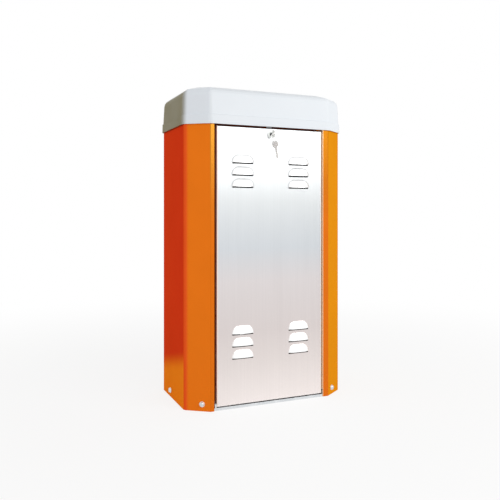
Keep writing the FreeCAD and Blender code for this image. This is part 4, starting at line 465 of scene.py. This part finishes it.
# Painted highlight: the cut corner at the front left is painted paler.
turned = add(tree, "MapRange", {}, {"Value": past.outputs["Value"], **corner_end})
fore = add(tree, "MapRange", {}, {"Value": across.outputs["Y"], **corner_rear})
corner = add(tree, "Math", {"operation": "MULTIPLY"},
             {0: turned.outputs["Result"], 1: fore.outputs["Result"]})
lit = add(tree, "Mix", colours, {0: corner.outputs[0], 6: mottled_grey, 7: linear("#F0F5FB")})
left_wall_shade = add(tree, "Mix", colours, {0: unshaded.outputs[0], 6: linear("#8F8662"), 7: lit.outputs[2]})
tree.links.new(left_wall_shade.outputs[2], shader.inputs["Base Color"])
dress(hood_grey, "hood")


# Limit feeler: the spring between its socket and its tip is wound from 1.6 mm steel wire.
# It stands out through the back sheet's window and bends when a stop runs against its tip.
def coil(centre, radius, wire, start, end, turns):
    """A wire of that radius along a helix about +Y: the point at t and a is the helix point
    (R cos 2 pi n t, y(t), R sin 2 pi n t) plus wire (outward cos a + Y sin a)."""
    steps, around = turns * 20, 10
    t = np.linspace(0, 1, steps)[:, None]
    a = np.linspace(0, 2 * math.pi, around, endpoint=False)[None, :]
    turn = 2 * math.pi * turns * t
    out = radius + wire * np.cos(a)
    y = start + (end - start) * t + wire * np.sin(a)
    points = np.stack([centre[0] + out * np.cos(turn), y, centre[1] + out * np.sin(turn)], -1)
    return points.reshape(-1, 3), grid(steps, around)


points, quads = coil((-0.040, 0.201), radius=0.0042, wire=0.0008, start=0.1265, end=0.1515, turns=13)
make("feeler_spring", points, quads, steel, "feeler")


# Stage: a pale paper floor that fades to white away from the cabinet, and a white surround.
# One large soft lamp stands at the front right, and the camera at the front left.
def seen_directly(tree):
    """1 for rays from the camera, off a mirror or through glass, and 0 for the light on the object."""
    path = tree.nodes.new("ShaderNodeLightPath")
    seen = add(tree, "Math", {"operation": "MAXIMUM"},
               {0: path.outputs["Is Camera Ray"], 1: path.outputs["Is Glossy Ray"]})
    seen = add(tree, "Math", {"operation": "MAXIMUM"},
               {0: seen.outputs[0], 1: path.outputs["Is Transmission Ray"]})
    return seen.outputs[0]


floor_half, floor_level = 14, -0.0006
floor_corners = [(x * floor_half, y * floor_half, floor_level)
                 for x, y in ((-1, -1), (1, -1), (1, 1), (-1, 1))]
floor_mesh = bpy.data.meshes.new("floor")
floor_mesh.from_pydata(floor_corners, [], [(0, 1, 2, 3)])
floor = bpy.data.objects.new("floor", floor_mesh)
bpy.context.scene.collection.objects.link(floor)
paper, tree, shader, where = finish("pale_paper", base_color=linear("#F4F4F3"), roughness=0.9)
away = add(tree, "VectorMath", {"operation": "LENGTH"}, {0: where})
fade = add(tree, "MapRange", smooth,
           {"Value": away.outputs["Value"], "From Min": 0.5, "From Max": 2.4, "To Min": 0.84, "To Max": 1.0})
share = add(tree, "Math", {"operation": "MULTIPLY"}, {0: seen_directly(tree), 1: fade.outputs["Result"]})
glow = add(tree, "Emission", {}, {"Color": (1, 1, 1, 1), "Strength": 1.0})
blend = add(tree, "MixShader", {}, {0: share.outputs[0], 1: shader.outputs[0], 2: glow.outputs[0]})
tree.links.new(blend.outputs[0], tree.nodes["Material Output"].inputs["Surface"])
floor_mesh.materials.append(paper)

world = bpy.data.worlds.new("surround")
bpy.context.scene.world = world
world.use_nodes = True
tree = world.node_tree
level = add(tree, "MapRange", {}, {"Value": seen_directly(tree), "To Min": 0.49, "To Max": 1.0})
tree.nodes["Background"].inputs["Color"].default_value = (1, 1, 1, 1)
tree.links.new(level.outputs["Result"], tree.nodes["Background"].inputs["Strength"])

lamp_data = bpy.data.lights.new("softbox", "AREA")
lamp_data.shape = "RECTANGLE"
lamp_data.size = 3.6
lamp_data.size_y = 2.0
lamp_data.energy = 62.0
lamp = bpy.data.objects.new("softbox", lamp_data)
bpy.context.scene.collection.objects.link(lamp)
lamp_place, lamp_target = Vector((1.24, -2.92, 2.0)), Vector((0.0, 0.0, 0.45))
lamp.location = lamp_place
lamp.rotation_mode = "QUATERNION"
lamp.rotation_quaternion = (lamp_target - lamp_place).to_track_quat("-Z", "Y")

camera_data = bpy.data.cameras.new("camera")
camera = bpy.data.objects.new("camera", camera_data)
bpy.context.scene.collection.objects.link(camera)
bpy.context.scene.camera = camera
camera_data.sensor_width = 36.0
camera_data.lens = 43.69
camera_data.shift_y = -0.0763
camera_heading = (0.395, 0.919)
camera.location = (-0.802, -1.834, 0.592)
camera.rotation_euler = (math.pi / 2, 0, -math.atan2(*camera_heading))

bpy.context.scene.view_settings.view_transform = "Standard"
